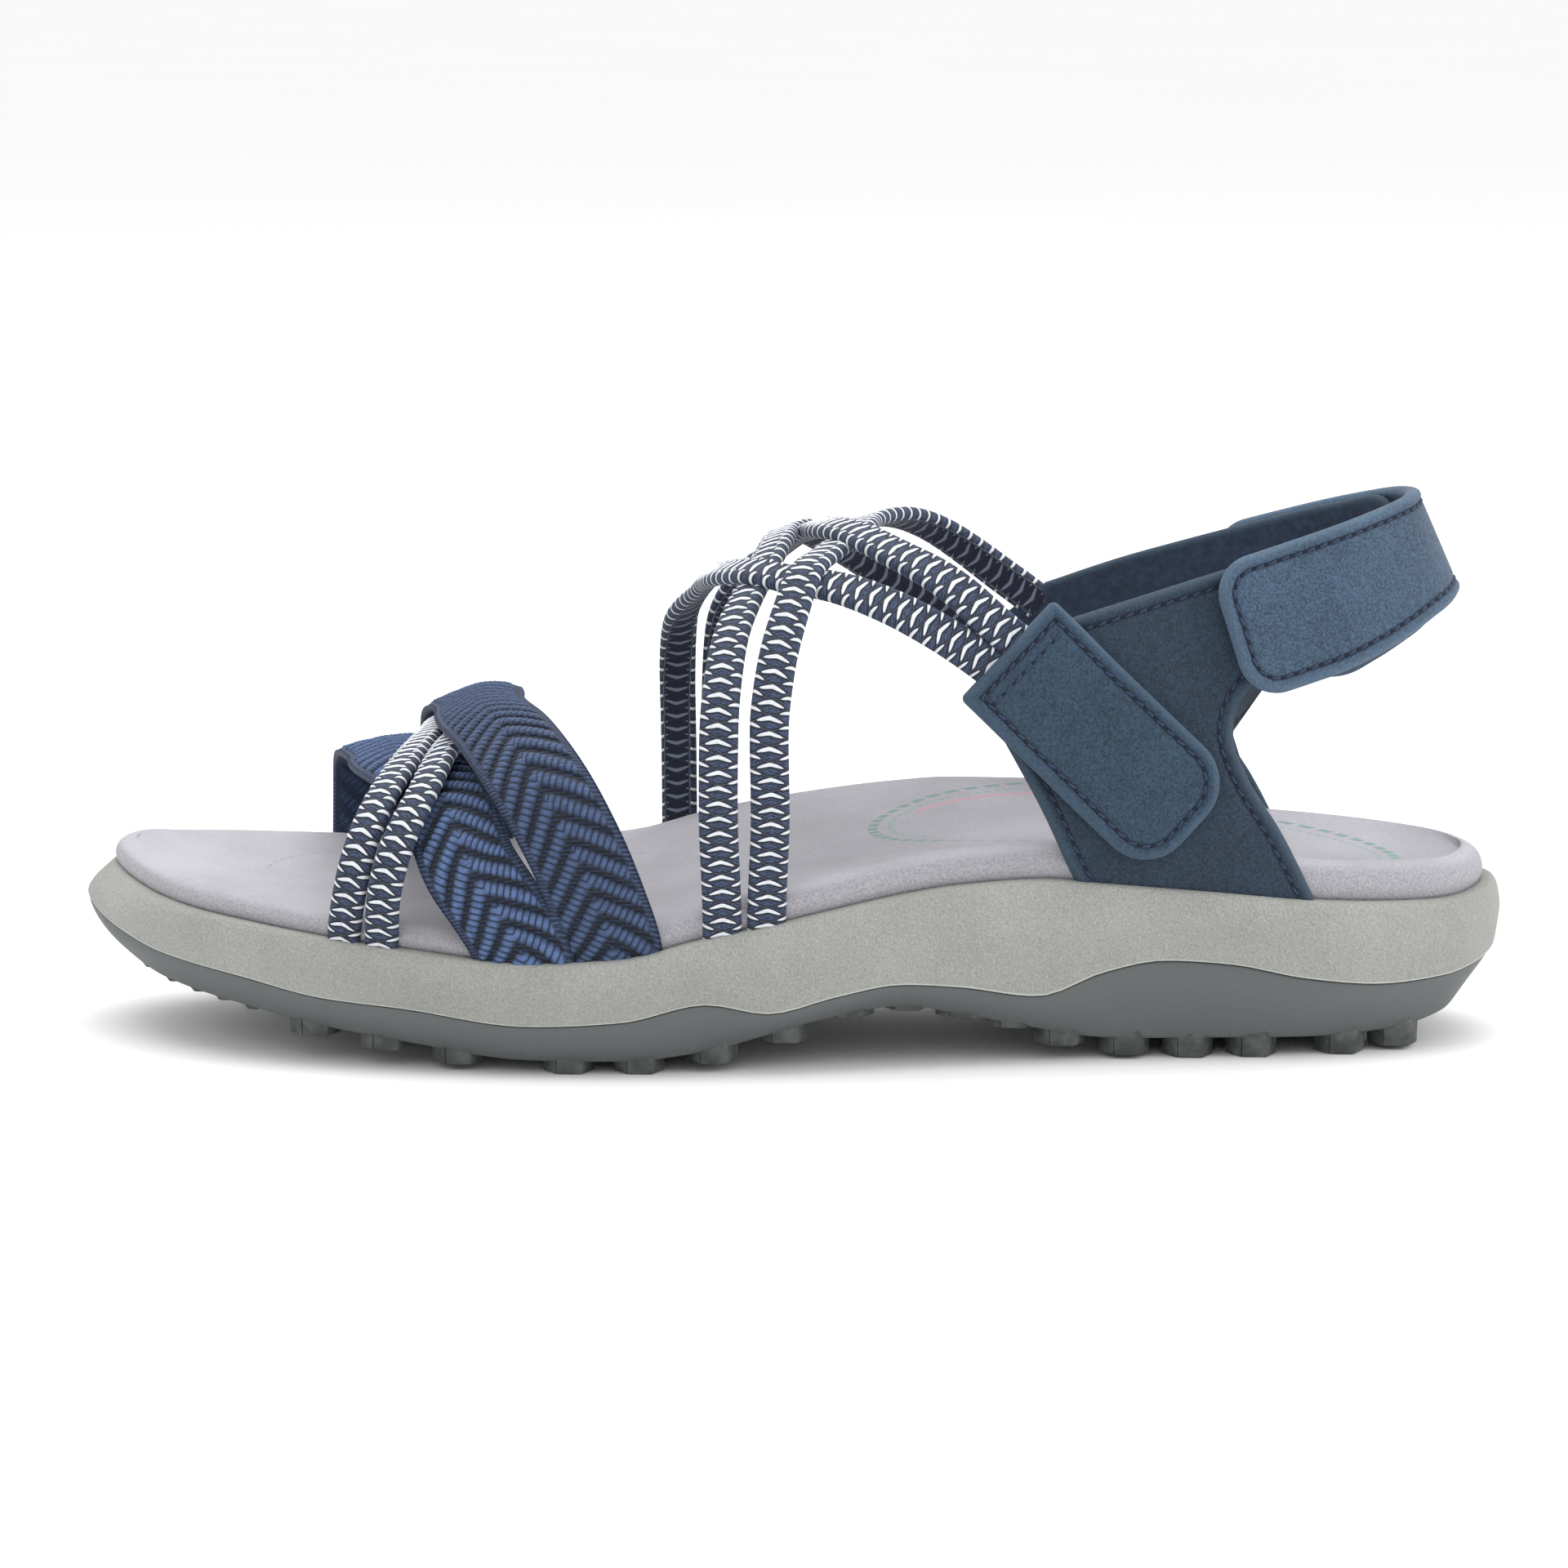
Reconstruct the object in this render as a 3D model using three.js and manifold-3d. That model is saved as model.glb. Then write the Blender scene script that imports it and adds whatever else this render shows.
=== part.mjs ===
// A left strap sandal for water and walking, in millimetres.
// +X runs from the toe tip to the heel, +Y to the wearer's inner side, +Z up.
// The origin is on the floor, under the middle of the shoe's length and breadth.
import * as THREE from "three";
import { mergeVertices } from "three/addons/utils/BufferGeometryUtils.js";
import Module from "manifold-3d";

const wasm = await Module();
wasm.setup();

// Driving sizes of the sole.
const length = 260; // toe tip to back of the heel
const ballWidth = 94; // widest breadth, at the ball of the foot
const heelWidth = 66; // breadth across the heel
const soleHeight = 33.4; // floor to the midsole's top line at the waist
const outsoleFloor = 3.4; // rubber under the midsole
const outsoleWall = 2.6; // rubber rim beside the midsole
const lugDepth = 3.7; // how far the heel's lugs stand out of the rubber
const lugWidth = 9.4; // across the corners of a lug
const frontLugPitch = 12.8; // row to row under the forefoot
const heelLugPitch = 11.2; // row to row under the heel
const lugColumnPitch = 15; // lug to lug along a row
const topInset = 1.4; // midsole's top line, inside its widest line
const toeSlope = 3.4; // more of the same, at the toe tip
const seamInset = 1.6; // line between midsole and outsole
const treadInset = 6.2; // lower edge of the outsole's sloping side
const footbedEdge = 6.6; // height of the footbed's rolled edge at the heel
const footbedRoll = 4; // breadth of that rolled edge
const edgeSet = 1.9; // how far it stands back from the midsole's top line
const cupDepth = 3.4; // how far the heel cup dips between its rims
const archLift = 1.2; // extra height of the footbed under the inner arch

// Driving sizes of the upper.
const instepHeight = 88.5; // floor to the top of the last at the instep
const sideFullness = 0.6; // below 1 the last's sides stand fuller than an ellipse
const belly = 3.6; // how far the last swells past its own base line
const webbingWidth = 16.5;
const webbingThickness = 2.1;
const toeCordWidth = 6.2;
const instepCordWidth = 6.9;
const cordThickness = 2.6;
const leather = 2; // quarters
const strapThickness = 2.6; // heel strap and tab, with their hook-and-loop pads
const collarHeight = 99; // floor to the top of the collar's back
const collarLean = 19; // that point, in front of the heel's back
const collarTilt = THREE.MathUtils.degToRad(16.5); // the collar rises to the back
const collarWidth = 47; // breadth of the collar over the heel
const collarReach = 90; // back of the collar to the front of the quarters
const collarFlare = 0.13; // how fast the collar widens downwards
const heelStrapWidth = 25; // beside the heel
const heelStrapBack = 20.5; // at the back
const heelStrapReach = 35; // back of the collar to the strap's ends
const tabWidth = 24;
const edgeChamfer = 0.32; // of a strap's thickness
const tuck = 4; // how deep a strap sits in the midsole
const lip = 0.35; // midsole left outside a strap's pocket
const gap = 0.3; // between neighbouring pieces
const foamGap = 0.5; // between the foam and the floor of the rubber cup

// Number of steps in the lofts.
const stationSteps = 32;
const cordSteps = 20;
const webbingSteps = 18;
const loopSteps = 18;
const tabSteps = 10;

// Arms of the quarters, under the heel strap.
const armOverlap = 44; // back of the collar to where an arm leaves its stem
const armBack = 5; // back of the collar to the arm's end
const armRecess = 0.4; // how far an arm lies inside its stem's face
const armDrop = 1; // its upper edge below the collar's

// Plan of the sole. Breadths are shares of the local width, which passes from ballWidth to heelWidth.
const planTable = [
  { at: 0.0, outer: 0.117, inner: 0.117 },
  { at: 0.0115, outer: -0.02, inner: 0.245 },
  { at: 0.035, outer: -0.125, inner: 0.32 },
  { at: 0.108, outer: -0.305, inner: 0.415 },
  { at: 0.223, outer: -0.436, inner: 0.484 },
  { at: 0.354, outer: -0.5, inner: 0.5 },
  { at: 0.485, outer: -0.515, inner: 0.457 },
  { at: 0.615, outer: -0.518, inner: 0.456 },
  { at: 0.75, outer: -0.508, inner: 0.5 },
  { at: 0.877, outer: -0.462, inner: 0.49 },
  { at: 0.958, outer: -0.33, inner: 0.365 },
  { at: 0.986, outer: -0.2, inner: 0.235 },
  { at: 1.0, outer: 0.015, inner: 0.015 },
];

// Side lines of the sole, as shares of soleHeight: midsole's top, seam with the outsole, and the outsole's base.
// The lug column is a share of lugDepth.
const sideTable = [
  { at: 0.0, topOuter: 0.97, topInner: 0.97, seam: 0.638, base: 0.49, lug: 0.4 },
  { at: 0.031, topOuter: 0.907, topInner: 0.92, seam: 0.57, base: 0.43, lug: 0.5 },
  { at: 0.062, topOuter: 0.835, topInner: 0.87, seam: 0.52, base: 0.35, lug: 0.6 },
  { at: 0.123, topOuter: 0.775, topInner: 0.82, seam: 0.46, base: 0.275, lug: 0.62 },
  { at: 0.181, topOuter: 0.7, topInner: 0.763, seam: 0.38, base: 0.2, lug: 0.65 },
  { at: 0.238, topOuter: 0.659, topInner: 0.728, seam: 0.35, base: 0.144, lug: 0.65 },
  { at: 0.319, topOuter: 0.61, topInner: 0.7, seam: 0.28, base: 0.072, lug: 0.65 },
  { at: 0.385, topOuter: 0.635, topInner: 0.74, seam: 0.305, base: 0.069, lug: 0.65 },
  { at: 0.442, topOuter: 0.737, topInner: 0.847, seam: 0.395, base: 0.117, lug: 0.7 },
  { at: 0.485, topOuter: 0.8, topInner: 0.92, seam: 0.338, base: 0.2, lug: 0.65 },
  { at: 0.531, topOuter: 0.874, topInner: 0.99, seam: 0.416, base: 0.287, lug: 0.6 },
  { at: 0.573, topOuter: 0.937, topInner: 1.04, seam: 0.467, base: 0.326, lug: 0.55 },
  { at: 0.615, topOuter: 0.98, topInner: 1.07, seam: 0.443, base: 0.275, lug: 0.6 },
  { at: 0.669, topOuter: 1.0, topInner: 1.066, seam: 0.383, base: 0.183, lug: 0.65 },
  { at: 0.715, topOuter: 0.973, topInner: 1.018, seam: 0.506, base: 0.123, lug: 0.8 },
  { at: 0.754, topOuter: 0.943, topInner: 0.973, seam: 0.56, base: 0.112, lug: 0.97 },
  { at: 0.8, topOuter: 0.91, topInner: 0.922, seam: 0.536, base: 0.11, lug: 1.0 },
  { at: 0.854, topOuter: 0.868, topInner: 0.88, seam: 0.452, base: 0.108, lug: 1.0 },
  { at: 0.912, topOuter: 0.835, topInner: 0.856, seam: 0.404, base: 0.125, lug: 1.0 },
  { at: 0.954, topOuter: 0.823, topInner: 0.844, seam: 0.422, base: 0.19, lug: 0.8 },
  { at: 0.977, topOuter: 0.838, topInner: 0.844, seam: 0.46, base: 0.315, lug: 0.6 },
  { at: 1.0, topOuter: 0.862, topInner: 0.862, seam: 0.51, base: 0.46, lug: 0.4 },
];

// Footbed: height of its rolled edge, depth of its cup and lift of its arch, as shares of their sizes.
const footbedTable = [
  { at: 0.0, edge: 0.42, cup: 0.25, arch: 0 },
  { at: 0.108, edge: 0.47, cup: 0.3, arch: 0 },
  { at: 0.223, edge: 0.61, cup: 0.35, arch: 0 },
  { at: 0.354, edge: 0.77, cup: 0.4, arch: 0.2 },
  { at: 0.485, edge: 0.9, cup: 0.6, arch: 0.9 },
  { at: 0.615, edge: 0.9, cup: 0.7, arch: 1 },
  { at: 0.75, edge: 0.95, cup: 0.9, arch: 0.5 },
  { at: 0.877, edge: 1.03, cup: 1, arch: 0.1 },
  { at: 1.0, edge: 0.97, cup: 1, arch: 0 },
];

// Ridge of the last: height as a share of instepHeight, and its place across as a share of ballWidth.
const ridgeTable = [
  { at: 0.1, height: 0.44, across: 0.16 },
  { at: 0.192, height: 0.55, across: 0.14 },
  { at: 0.25, height: 0.588, across: 0.12 },
  { at: 0.308, height: 0.652, across: 0.1 },
  { at: 0.345, height: 0.705, across: 0.095 },
  { at: 0.385, height: 0.775, across: 0.09 },
  { at: 0.431, height: 0.868, across: 0.08 },
  { at: 0.462, height: 0.935, across: 0.07 },
  { at: 0.5, height: 0.982, across: 0.06 },
  { at: 0.554, height: 1.03, across: 0.05 },
  { at: 0.615, height: 1.065, across: 0.04 },
  { at: 0.75, height: 1.08, across: 0.03 },
];

// Straps over the last, from the outer to the inner side. Turn is the place round the last: 0 on the
// outer base line, 0.5 on the ridge, 1 on the inner base line. Lift is in layers of the strap below.
const rearWebbingTable = [
  { turn: 0, at: 0.3815, lift: 0 },
  { turn: 0.028, at: 0.369, lift: 0.2 },
  { turn: 0.096, at: 0.353, lift: 0.7 },
  { turn: 0.178, at: 0.339, lift: 1.15 },
  { turn: 0.256, at: 0.3264, lift: 1.4 },
  { turn: 0.352, at: 0.31, lift: 1.4 },
  { turn: 0.497, at: 0.2865, lift: 1.4 },
  { turn: 0.62, at: 0.274, lift: 1.4 },
  { turn: 0.76, at: 0.2655, lift: 1.4 },
  { turn: 0.87, at: 0.2635, lift: 1.3 },
  { turn: 0.95, at: 0.264, lift: 0.6 },
  { turn: 1, at: 0.265, lift: 0 },
];
const frontWebbingTable = [
  { turn: 0, at: 0.324, lift: 0 },
  { turn: 0.035, at: 0.309, lift: -0.3 },
  { turn: 0.107, at: 0.2845, lift: -0.8 },
  { turn: 0.243, at: 0.2646, lift: -0.8 },
  { turn: 0.39, at: 0.2459, lift: -0.8 },
  { turn: 0.527, at: 0.2126, lift: -0.8 },
  { turn: 0.65, at: 0.203, lift: -0.4 },
  { turn: 0.8, at: 0.199, lift: 0 },
  { turn: 1, at: 0.198, lift: 0 },
];
const frontToeCordTable = [
  { turn: 0, at: 0.201, lift: 0 },
  { turn: 0.153, at: 0.2118, lift: 0.3 },
  { turn: 0.286, at: 0.2257, lift: 0.5 },
  { turn: 0.4, at: 0.2389, lift: 0.5 },
  { turn: 0.498, at: 0.2515, lift: 0.4 },
  { turn: 0.56, at: 0.26, lift: 0.2 },
  { turn: 0.653, at: 0.2655, lift: 0 },
  { turn: 0.751, at: 0.2775, lift: 0 },
  { turn: 0.842, at: 0.2965, lift: 0 },
  { turn: 0.93, at: 0.313, lift: 0 },
  { turn: 1, at: 0.326, lift: 0 },
];
const rearToeCordTable = [
  { turn: 0, at: 0.2285, lift: 0 },
  { turn: 0.06, at: 0.2312, lift: 0.5 },
  { turn: 0.149, at: 0.239, lift: 0.65 },
  { turn: 0.268, at: 0.2535, lift: 0.6 },
  { turn: 0.415, at: 0.2668, lift: 0.4 },
  { turn: 0.5, at: 0.2785, lift: 0.1 },
  { turn: 0.58, at: 0.288, lift: 0 },
  { turn: 0.653, at: 0.2935, lift: 0 },
  { turn: 0.751, at: 0.3045, lift: 0 },
  { turn: 0.842, at: 0.3235, lift: 0 },
  { turn: 0.93, at: 0.3395, lift: 0 },
  { turn: 1, at: 0.3525, lift: 0 },
];
const instepFrontTable = [
  { turn: 0, at: 0.4531, lift: 0 },
  { turn: 0.067, at: 0.4506, lift: 0 },
  { turn: 0.154, at: 0.4516, lift: 0 },
  { turn: 0.293, at: 0.4602, lift: 0 },
  { turn: 0.367, at: 0.4705, lift: 0 },
  { turn: 0.41, at: 0.4775, lift: 0 },
  { turn: 0.445, at: 0.486, lift: 0.5 },
  { turn: 0.5, at: 0.497, lift: 1 },
  { turn: 0.575, at: 0.512, lift: 0.8 },
  { turn: 0.65, at: 0.53, lift: 0.1 },
  { turn: 0.743, at: 0.56, lift: 0 },
  { turn: 0.84, at: 0.62, lift: 0 },
  { turn: 0.89, at: 0.66, lift: 0 },
];
const instepRearTable = [
  { turn: 0, at: 0.4828, lift: 0 },
  { turn: 0.053, at: 0.4854, lift: 0 },
  { turn: 0.131, at: 0.4849, lift: 0 },
  { turn: 0.218, at: 0.4902, lift: 0 },
  { turn: 0.301, at: 0.5019, lift: 0.4 },
  { turn: 0.355, at: 0.513, lift: 1 },
  { turn: 0.411, at: 0.5268, lift: 0.3 },
  { turn: 0.46, at: 0.54, lift: 0 },
  { turn: 0.55, at: 0.5655, lift: 0 },
  { turn: 0.67, at: 0.602, lift: 0 },
  { turn: 0.77, at: 0.6447, lift: 0 },
  { turn: 0.83, at: 0.68, lift: 0 },
];
const tabUpperTable = [
  { turn: 0.165, at: 0.668, lift: 0.6 },
  { turn: 0.19, at: 0.6506, lift: 0.5 },
  { turn: 0.259, at: 0.6167, lift: 0.1 },
  { turn: 0.342, at: 0.5822, lift: 0 },
  { turn: 0.418, at: 0.5532, lift: 0.6 },
  { turn: 0.47, at: 0.5345, lift: 1 },
  { turn: 0.53, at: 0.514, lift: 0.5 },
  { turn: 0.6, at: 0.489, lift: 0 },
  { turn: 0.68, at: 0.467, lift: 0 },
  { turn: 0.767, at: 0.452, lift: 0 },
  { turn: 0.886, at: 0.4471, lift: 0 },
  { turn: 1, at: 0.446, lift: 0 },
];
const tabLowerTable = [
  { turn: 0.14, at: 0.645, lift: 0.6 },
  { turn: 0.166, at: 0.6279, lift: 0.5 },
  { turn: 0.211, at: 0.598, lift: 0.1 },
  { turn: 0.271, at: 0.5623, lift: 0 },
  { turn: 0.334, at: 0.527, lift: 0 },
  { turn: 0.37, at: 0.505, lift: 0.1 },
  { turn: 0.41, at: 0.4799, lift: 1 },
  { turn: 0.47, at: 0.459, lift: 0.8 },
  { turn: 0.56, at: 0.44, lift: 0 },
  { turn: 0.683, at: 0.4221, lift: 0 },
  { turn: 0.852, at: 0.417, lift: 0 },
  { turn: 1, at: 0.4176, lift: 0 },
];

// Collar in plan, from its back to the front of a quarter: the way forward as a share of collarReach,
// and the way out from the middle as a share of collarWidth.
const collarTable = [
  { forward: 0, half: 0 },
  { forward: 0.022, half: 0.16 },
  { forward: 0.06, half: 0.245 },
  { forward: 0.155, half: 0.375 },
  { forward: 0.33, half: 0.485 },
  { forward: 0.5, half: 0.54 },
  { forward: 0.67, half: 0.595 },
  { forward: 0.8, half: 0.635 },
  { forward: 1, half: 0.69 },
];

// Side outline of a quarter's stem: the places of its front and rear edges along the shoe, and their
// rise as a share of the way from the midsole up to the collar.
const stemTable = [
  { front: 0.702, frontRise: -0.08, rear: 0.862, rearRise: -0.06 },
  { front: 0.691, frontRise: 0, rear: 0.855, rearRise: 0 },
  { front: 0.668, frontRise: 0.287, rear: 0.832, rearRise: 0.19 },
  { front: 0.647, frontRise: 0.536, rear: 0.809, rearRise: 0.355 },
  { front: 0.634, frontRise: 0.7, rear: 0.8, rearRise: 0.483 },
  { front: 0.632, frontRise: 0.79, rear: 0.806, rearRise: 0.57 },
  { front: 0.655, frontRise: 0.88, rear: 0.818, rearRise: 0.75 },
  { front: 0.684, frontRise: 0.975, rear: 0.83, rearRise: 0.985 },
];

// Middle line of the tab on the outer quarter: place along the shoe and share of collarHeight.
const tabTable = [
  { at: 0.645, height: 0.75 },
  { at: 0.77, height: 0.424 },
];
// Smooth track through one column of a table, which never swings past its rows.
function track(table, column) {
  const x = table.map((row) => row.at);
  const y = table.map((row) => row[column]);
  const rise = x.slice(1).map((v, i) => (y[i + 1] - y[i]) / (v - x[i]));
  const slope = y.map((_, i) => {
    const before = rise[i - 1];
    const after = rise[i];
    if (before === undefined) return after;
    if (after === undefined) return before;
    return before * after <= 0 ? 0 : (2 * before * after) / (before + after);
  });
  return (at) => {
    const v = THREE.MathUtils.clamp(at, x[0], x[x.length - 1]);
    let i = 0;
    while (i < x.length - 2 && v > x[i + 1]) i += 1;
    const step = x[i + 1] - x[i];
    const s = (v - x[i]) / step;
    const held = (1 + 2 * s) * (1 - s) * (1 - s) * y[i] + s * s * (3 - 2 * s) * y[i + 1];
    return held + step * s * (1 - s) * ((1 - s) * slope[i] - s * slope[i + 1]);
  };
}

const side = {
  topOuter: track(sideTable, "topOuter"),
  topInner: track(sideTable, "topInner"),
  seam: track(sideTable, "seam"),
  base: track(sideTable, "base"),
  lug: track(sideTable, "lug"),
};
const bed = {
  edge: track(footbedTable, "edge"),
  cup: track(footbedTable, "cup"),
  arch: track(footbedTable, "arch"),
};
const ridge = { height: track(ridgeTable, "height"), across: track(ridgeTable, "across") };

const lerp = THREE.MathUtils.lerp;
const smooth = THREE.MathUtils.smoothstep;
const shareAt = (x) => x / length + 0.5;
const placeAt = (share) => (share - 0.5) * length;
const localWidth = (at) => lerp(ballWidth, heelWidth, smooth(at, 0.35, 0.75));
const innerness = (y) => smooth(y, -0.42 * ballWidth, 0.42 * ballWidth);

// Heights of the sole's layers over a point of the plan.
const topLine = (x, y) =>
  soleHeight * lerp(side.topOuter(shareAt(x)), side.topInner(shareAt(x)), innerness(y));
const seamLine = (x) => soleHeight * side.seam(shareAt(x));
const baseLine = (x) => soleHeight * side.base(shareAt(x));
const lugLine = (x) => Math.max(0, baseLine(x) - lugDepth * side.lug(shareAt(x)));
const rubberTop = (x) => Math.min(baseLine(x) + outsoleFloor, seamLine(x) - 0.8);

// The plan's outline: toe tip, outer side, heel, inner side, with opposite points paired.
const planCurve = new THREE.CatmullRomCurve3(
  [
    ...planTable.map((row) => [row.at, row.outer]),
    ...planTable.slice(1, -1).reverse().map((row) => [row.at, row.inner]),
  ].map(([at, across]) => new THREE.Vector3(placeAt(at), across * localWidth(at), 0)),
  true,
  "centripetal",
);
const around = 2 * stationSteps;
const outline = Array.from({ length: around }, (_, i) => planCurve.getPoint(i / around));
const inward = outline.map((_, i) => {
  const before = outline[(i + around - 1) % around];
  const after = outline[(i + 1) % around];
  return new THREE.Vector3(before.y - after.y, after.x - before.x, 0).normalize();
});

// A ring of the outline, moved inwards and lifted to a height. Both may be functions of the place.
function ring(inset, height) {
  return outline.map((p, i) => {
    const d = typeof inset === "function" ? inset(shareAt(p.x)) : inset;
    const x = p.x + inward[i].x * d;
    const y = p.y + inward[i].y * d;
    return [x, y, height(x, y)];
  });
}

// Breadth of the plan at x, on the outer or the inner side.
function edgeY(x, inner, inset) {
  const points = ring(inset, () => 0);
  const half = inner
    ? [points[0], ...points.slice(stationSteps).reverse()]
    : points.slice(0, stationSteps + 1);
  const i = THREE.MathUtils.clamp(half.findIndex((p) => p[0] >= x), 1, half.length - 1);
  const [a, b] = [half[i - 1], half[i]];
  return lerp(a[1], b[1], THREE.MathUtils.clamp((x - a[0]) / (b[0] - a[0]), 0, 1));
}

// A closed solid from corners and triangles.
function solid(corners, faces) {
  return new wasm.Manifold(
    new wasm.Mesh({
      numProp: 3,
      vertProperties: new Float32Array(corners.flat()),
      triVerts: new Uint32Array(faces.flat()),
    }),
  );
}

const separation = (p, q) => Math.hypot(p[0] - q[0], p[1] - q[1], p[2] - q[2]);

// A solid through rings from the bottom up. Both ends close by strips across, from side to side;
// the upper one may have columns of its own, whose height comes from crown(x, y, share across).
function stack(rings, columns = 0, crown = null) {
  const corners = rings.flat();
  const faces = [];
  for (let r = 0; r + 1 < rings.length; r += 1) {
    for (let i = 0; i < around; i += 1) {
      const j = (i + 1) % around;
      const [a, b, c, d] = [r * around + i, r * around + j, (r + 1) * around + j, (r + 1) * around + i];
      const shorter = separation(corners[a], corners[c]) < separation(corners[b], corners[d]);
      faces.push(...(shorter ? [[a, b, c], [a, c, d]] : [[a, b, d], [b, c, d]]));
    }
  }
  const close = (start, count, facingUp) => {
    const row = (j) => {
      const first = start + j;
      const last = start + ((around - j) % around);
      if (j === 0 || j === stationSteps) return [first];
      const [p, q] = [corners[first], corners[last]];
      const middle = Array.from({ length: count }, (_, k) => {
        const share = (k + 1) / (count + 1);
        const x = lerp(p[0], q[0], share);
        const y = lerp(p[1], q[1], share);
        return corners.push([x, y, crown(x, y, share)]) - 1;
      });
      return [first, ...middle, last];
    };
    let before = row(0);
    for (let j = 1; j <= stationSteps; j += 1) {
      const after = row(j);
      const [few, many] = before.length < after.length ? [before, after] : [after, before];
      for (let k = 0; k + 1 < many.length; k += 1) {
        const quad = few.length === 1
          ? [[few[0], many[k], many[k + 1]]]
          : [[before[k], after[k], after[k + 1]], [before[k], after[k + 1], before[k + 1]]];
        const turned = (few.length === 1 && few === after) !== !facingUp;
        faces.push(...quad.map(([a, b, c]) => (turned ? [a, c, b] : [a, b, c])));
      }
      before = after;
    }
  };
  close(0, 0, false);
  close((rings.length - 1) * around, columns, true);
  return solid(corners, faces);
}

// Joins a list of solids into one.
const joined = (solids) => solids.reduce((whole, next) => whole.add(next));

// Outsole: a rubber cup with a wavy upper edge, sloping sides and rows of six-sided lugs.
function makeOutsole() {
  const mid = (share) => (x) => lerp(baseLine(x), seamLine(x), share);
  const cup = stack([
    ring(treadInset, baseLine),
    ring(treadInset * 0.5, mid(0.4)),
    ring(seamInset, (x) => seamLine(x) - gap / 2),
    ring(seamInset + outsoleWall, (x) => seamLine(x) - gap / 2),
    ring(seamInset + outsoleWall * 2, rubberTop),
  ]);
  return joined([cup, ...lugs()]);
}

// One lug: a six-sided prism, a little narrower at the floor.
function lug(x, y) {
  const foot = lugLine(x);
  const height = baseLine(x) + 1 - foot;
  const prism = new THREE.CylinderGeometry(lugWidth / 2, lugWidth / 2 - 0.5, height, 6);
  prism.rotateX(Math.PI / 2);
  prism.translate(x, y, foot + height / 2);
  return fromGeometry(prism);
}

// Rows of lugs that fit inside the tread's edge.
function lugs() {
  const made = [];
  const rows = [
    { from: 0.075, to: 0.5, pitch: frontLugPitch },
    { from: 0.665, to: 0.95, pitch: heelLugPitch },
  ];
  for (const { from, to, pitch } of rows) {
    const count = Math.floor(((to - from) * length) / pitch) + 1;
    for (let r = 0; r < count; r += 1) {
      const x = placeAt(from) + r * pitch;
      const room = treadInset + lugWidth / 2 - 1.2;
      const [low, high] = [edgeY(x, false, room), edgeY(x, true, room)];
      const across = Math.max(1, Math.floor((high - low) / lugColumnPitch) + 1);
      for (let k = 0; k < across; k += 1) {
        made.push(lug(x, across === 1 ? (low + high) / 2 : lerp(low, high, k / (across - 1))));
      }
    }
  }
  return made;
}

// Midsole: foam that fills the rubber cup, swells below its top line and carries the footbed.
function makeMidsole(pockets) {
  const mid = (share) => (x, y) => lerp(seamLine(x), topLine(x, y), share);
    const body = stack([
    ring(seamInset + outsoleWall * 2 + gap * 2, (x) => rubberTop(x) + foamGap),
    ring(seamInset + outsoleWall + gap, (x) => seamLine(x) + gap / 2),
    ring(seamInset, (x) => seamLine(x) + gap / 2),
    ring(0.5, mid(0.25)),
    ring(0, mid(0.55)),
    ring((at) => 0.35 * topEdge(at), mid(0.85)),
    ring(topEdge, topLine),
  ]);
  return body.subtract(pockets);
}
const topEdge = (at) => topInset + toeSlope * (1 - smooth(at, 0, 0.1));

// Height of the footbed's rim over the plan.
const rimLine = (x, y) => {
  const at = shareAt(x);
  return topLine(x, y) + footbedEdge * bed.edge(at) + archLift * bed.arch(at) * innerness(y);
};

// Footbed: a rolled edge round a cupped top.
function makeFootbed(pockets) {
  const part = (share) => (x, y) => lerp(topLine(x, y) + gap, rimLine(x, y), share);
  const from = (more) => (at) => topEdge(at) + more;
  const crown = (x, y, share) => {
    const dip = 4 * share * (1 - share);
    const at = shareAt(x);
    const ends = smooth(at, 0, 0.08) * (1 - smooth(at, 0.93, 1));
    return rimLine(x, y) - cupDepth * bed.cup(at) * ends * Math.sqrt(dip);
  };
  const body = stack(
    [
      ring(from(edgeSet + 0.6), part(0)),
      ring(from(edgeSet), part(0.35)),
      ring(from(edgeSet + 0.4), part(0.7)),
      ring(from(edgeSet + footbedRoll * 0.4), part(0.95)),
      ring(from(edgeSet + footbedRoll), part(1)),
    ],
    3,
    crown,
  );
  return body.subtract(pockets);
}

// A three.js geometry as a solid.
function fromGeometry(geometry) {
  geometry.deleteAttribute("normal");
  geometry.deleteAttribute("uv");
  const merged = mergeVertices(geometry, 1e-4);
  return new wasm.Manifold(
    new wasm.Mesh({
      numProp: 3,
      vertProperties: new Float32Array(merged.attributes.position.array),
      triVerts: new Uint32Array(merged.index.array),
    }),
  );
}

// A point of the last: turn 0 is the outer base line, 0.5 the ridge and 1 the inner base line.
const seatInset = topInset + lip + gap;
const seatDrop = 1.5; // base line of the last, below the midsole's top line
function lastPoint(at, turn) {
  const x = placeAt(at);
  const inner = turn > 0.5;
  const angle = (inner ? 1 - turn : turn) * Math.PI;
  const foot = edgeY(x, inner, seatInset + cordThickness);
  const top = ridge.across(at) * ballWidth;
  const outwards = Math.sign(foot - top);
  const low = topLine(x, foot) - seatDrop;
  const high = instepHeight * ridge.height(at);
  const breadth = Math.max(0, Math.cos(angle)) ** sideFullness;
  return new THREE.Vector3(
    x,
    top + (foot - top) * breadth + outwards * belly * Math.sin(2 * angle),
    lerp(low, high, Math.sin(angle) ** sideFullness),
  );
}

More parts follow.
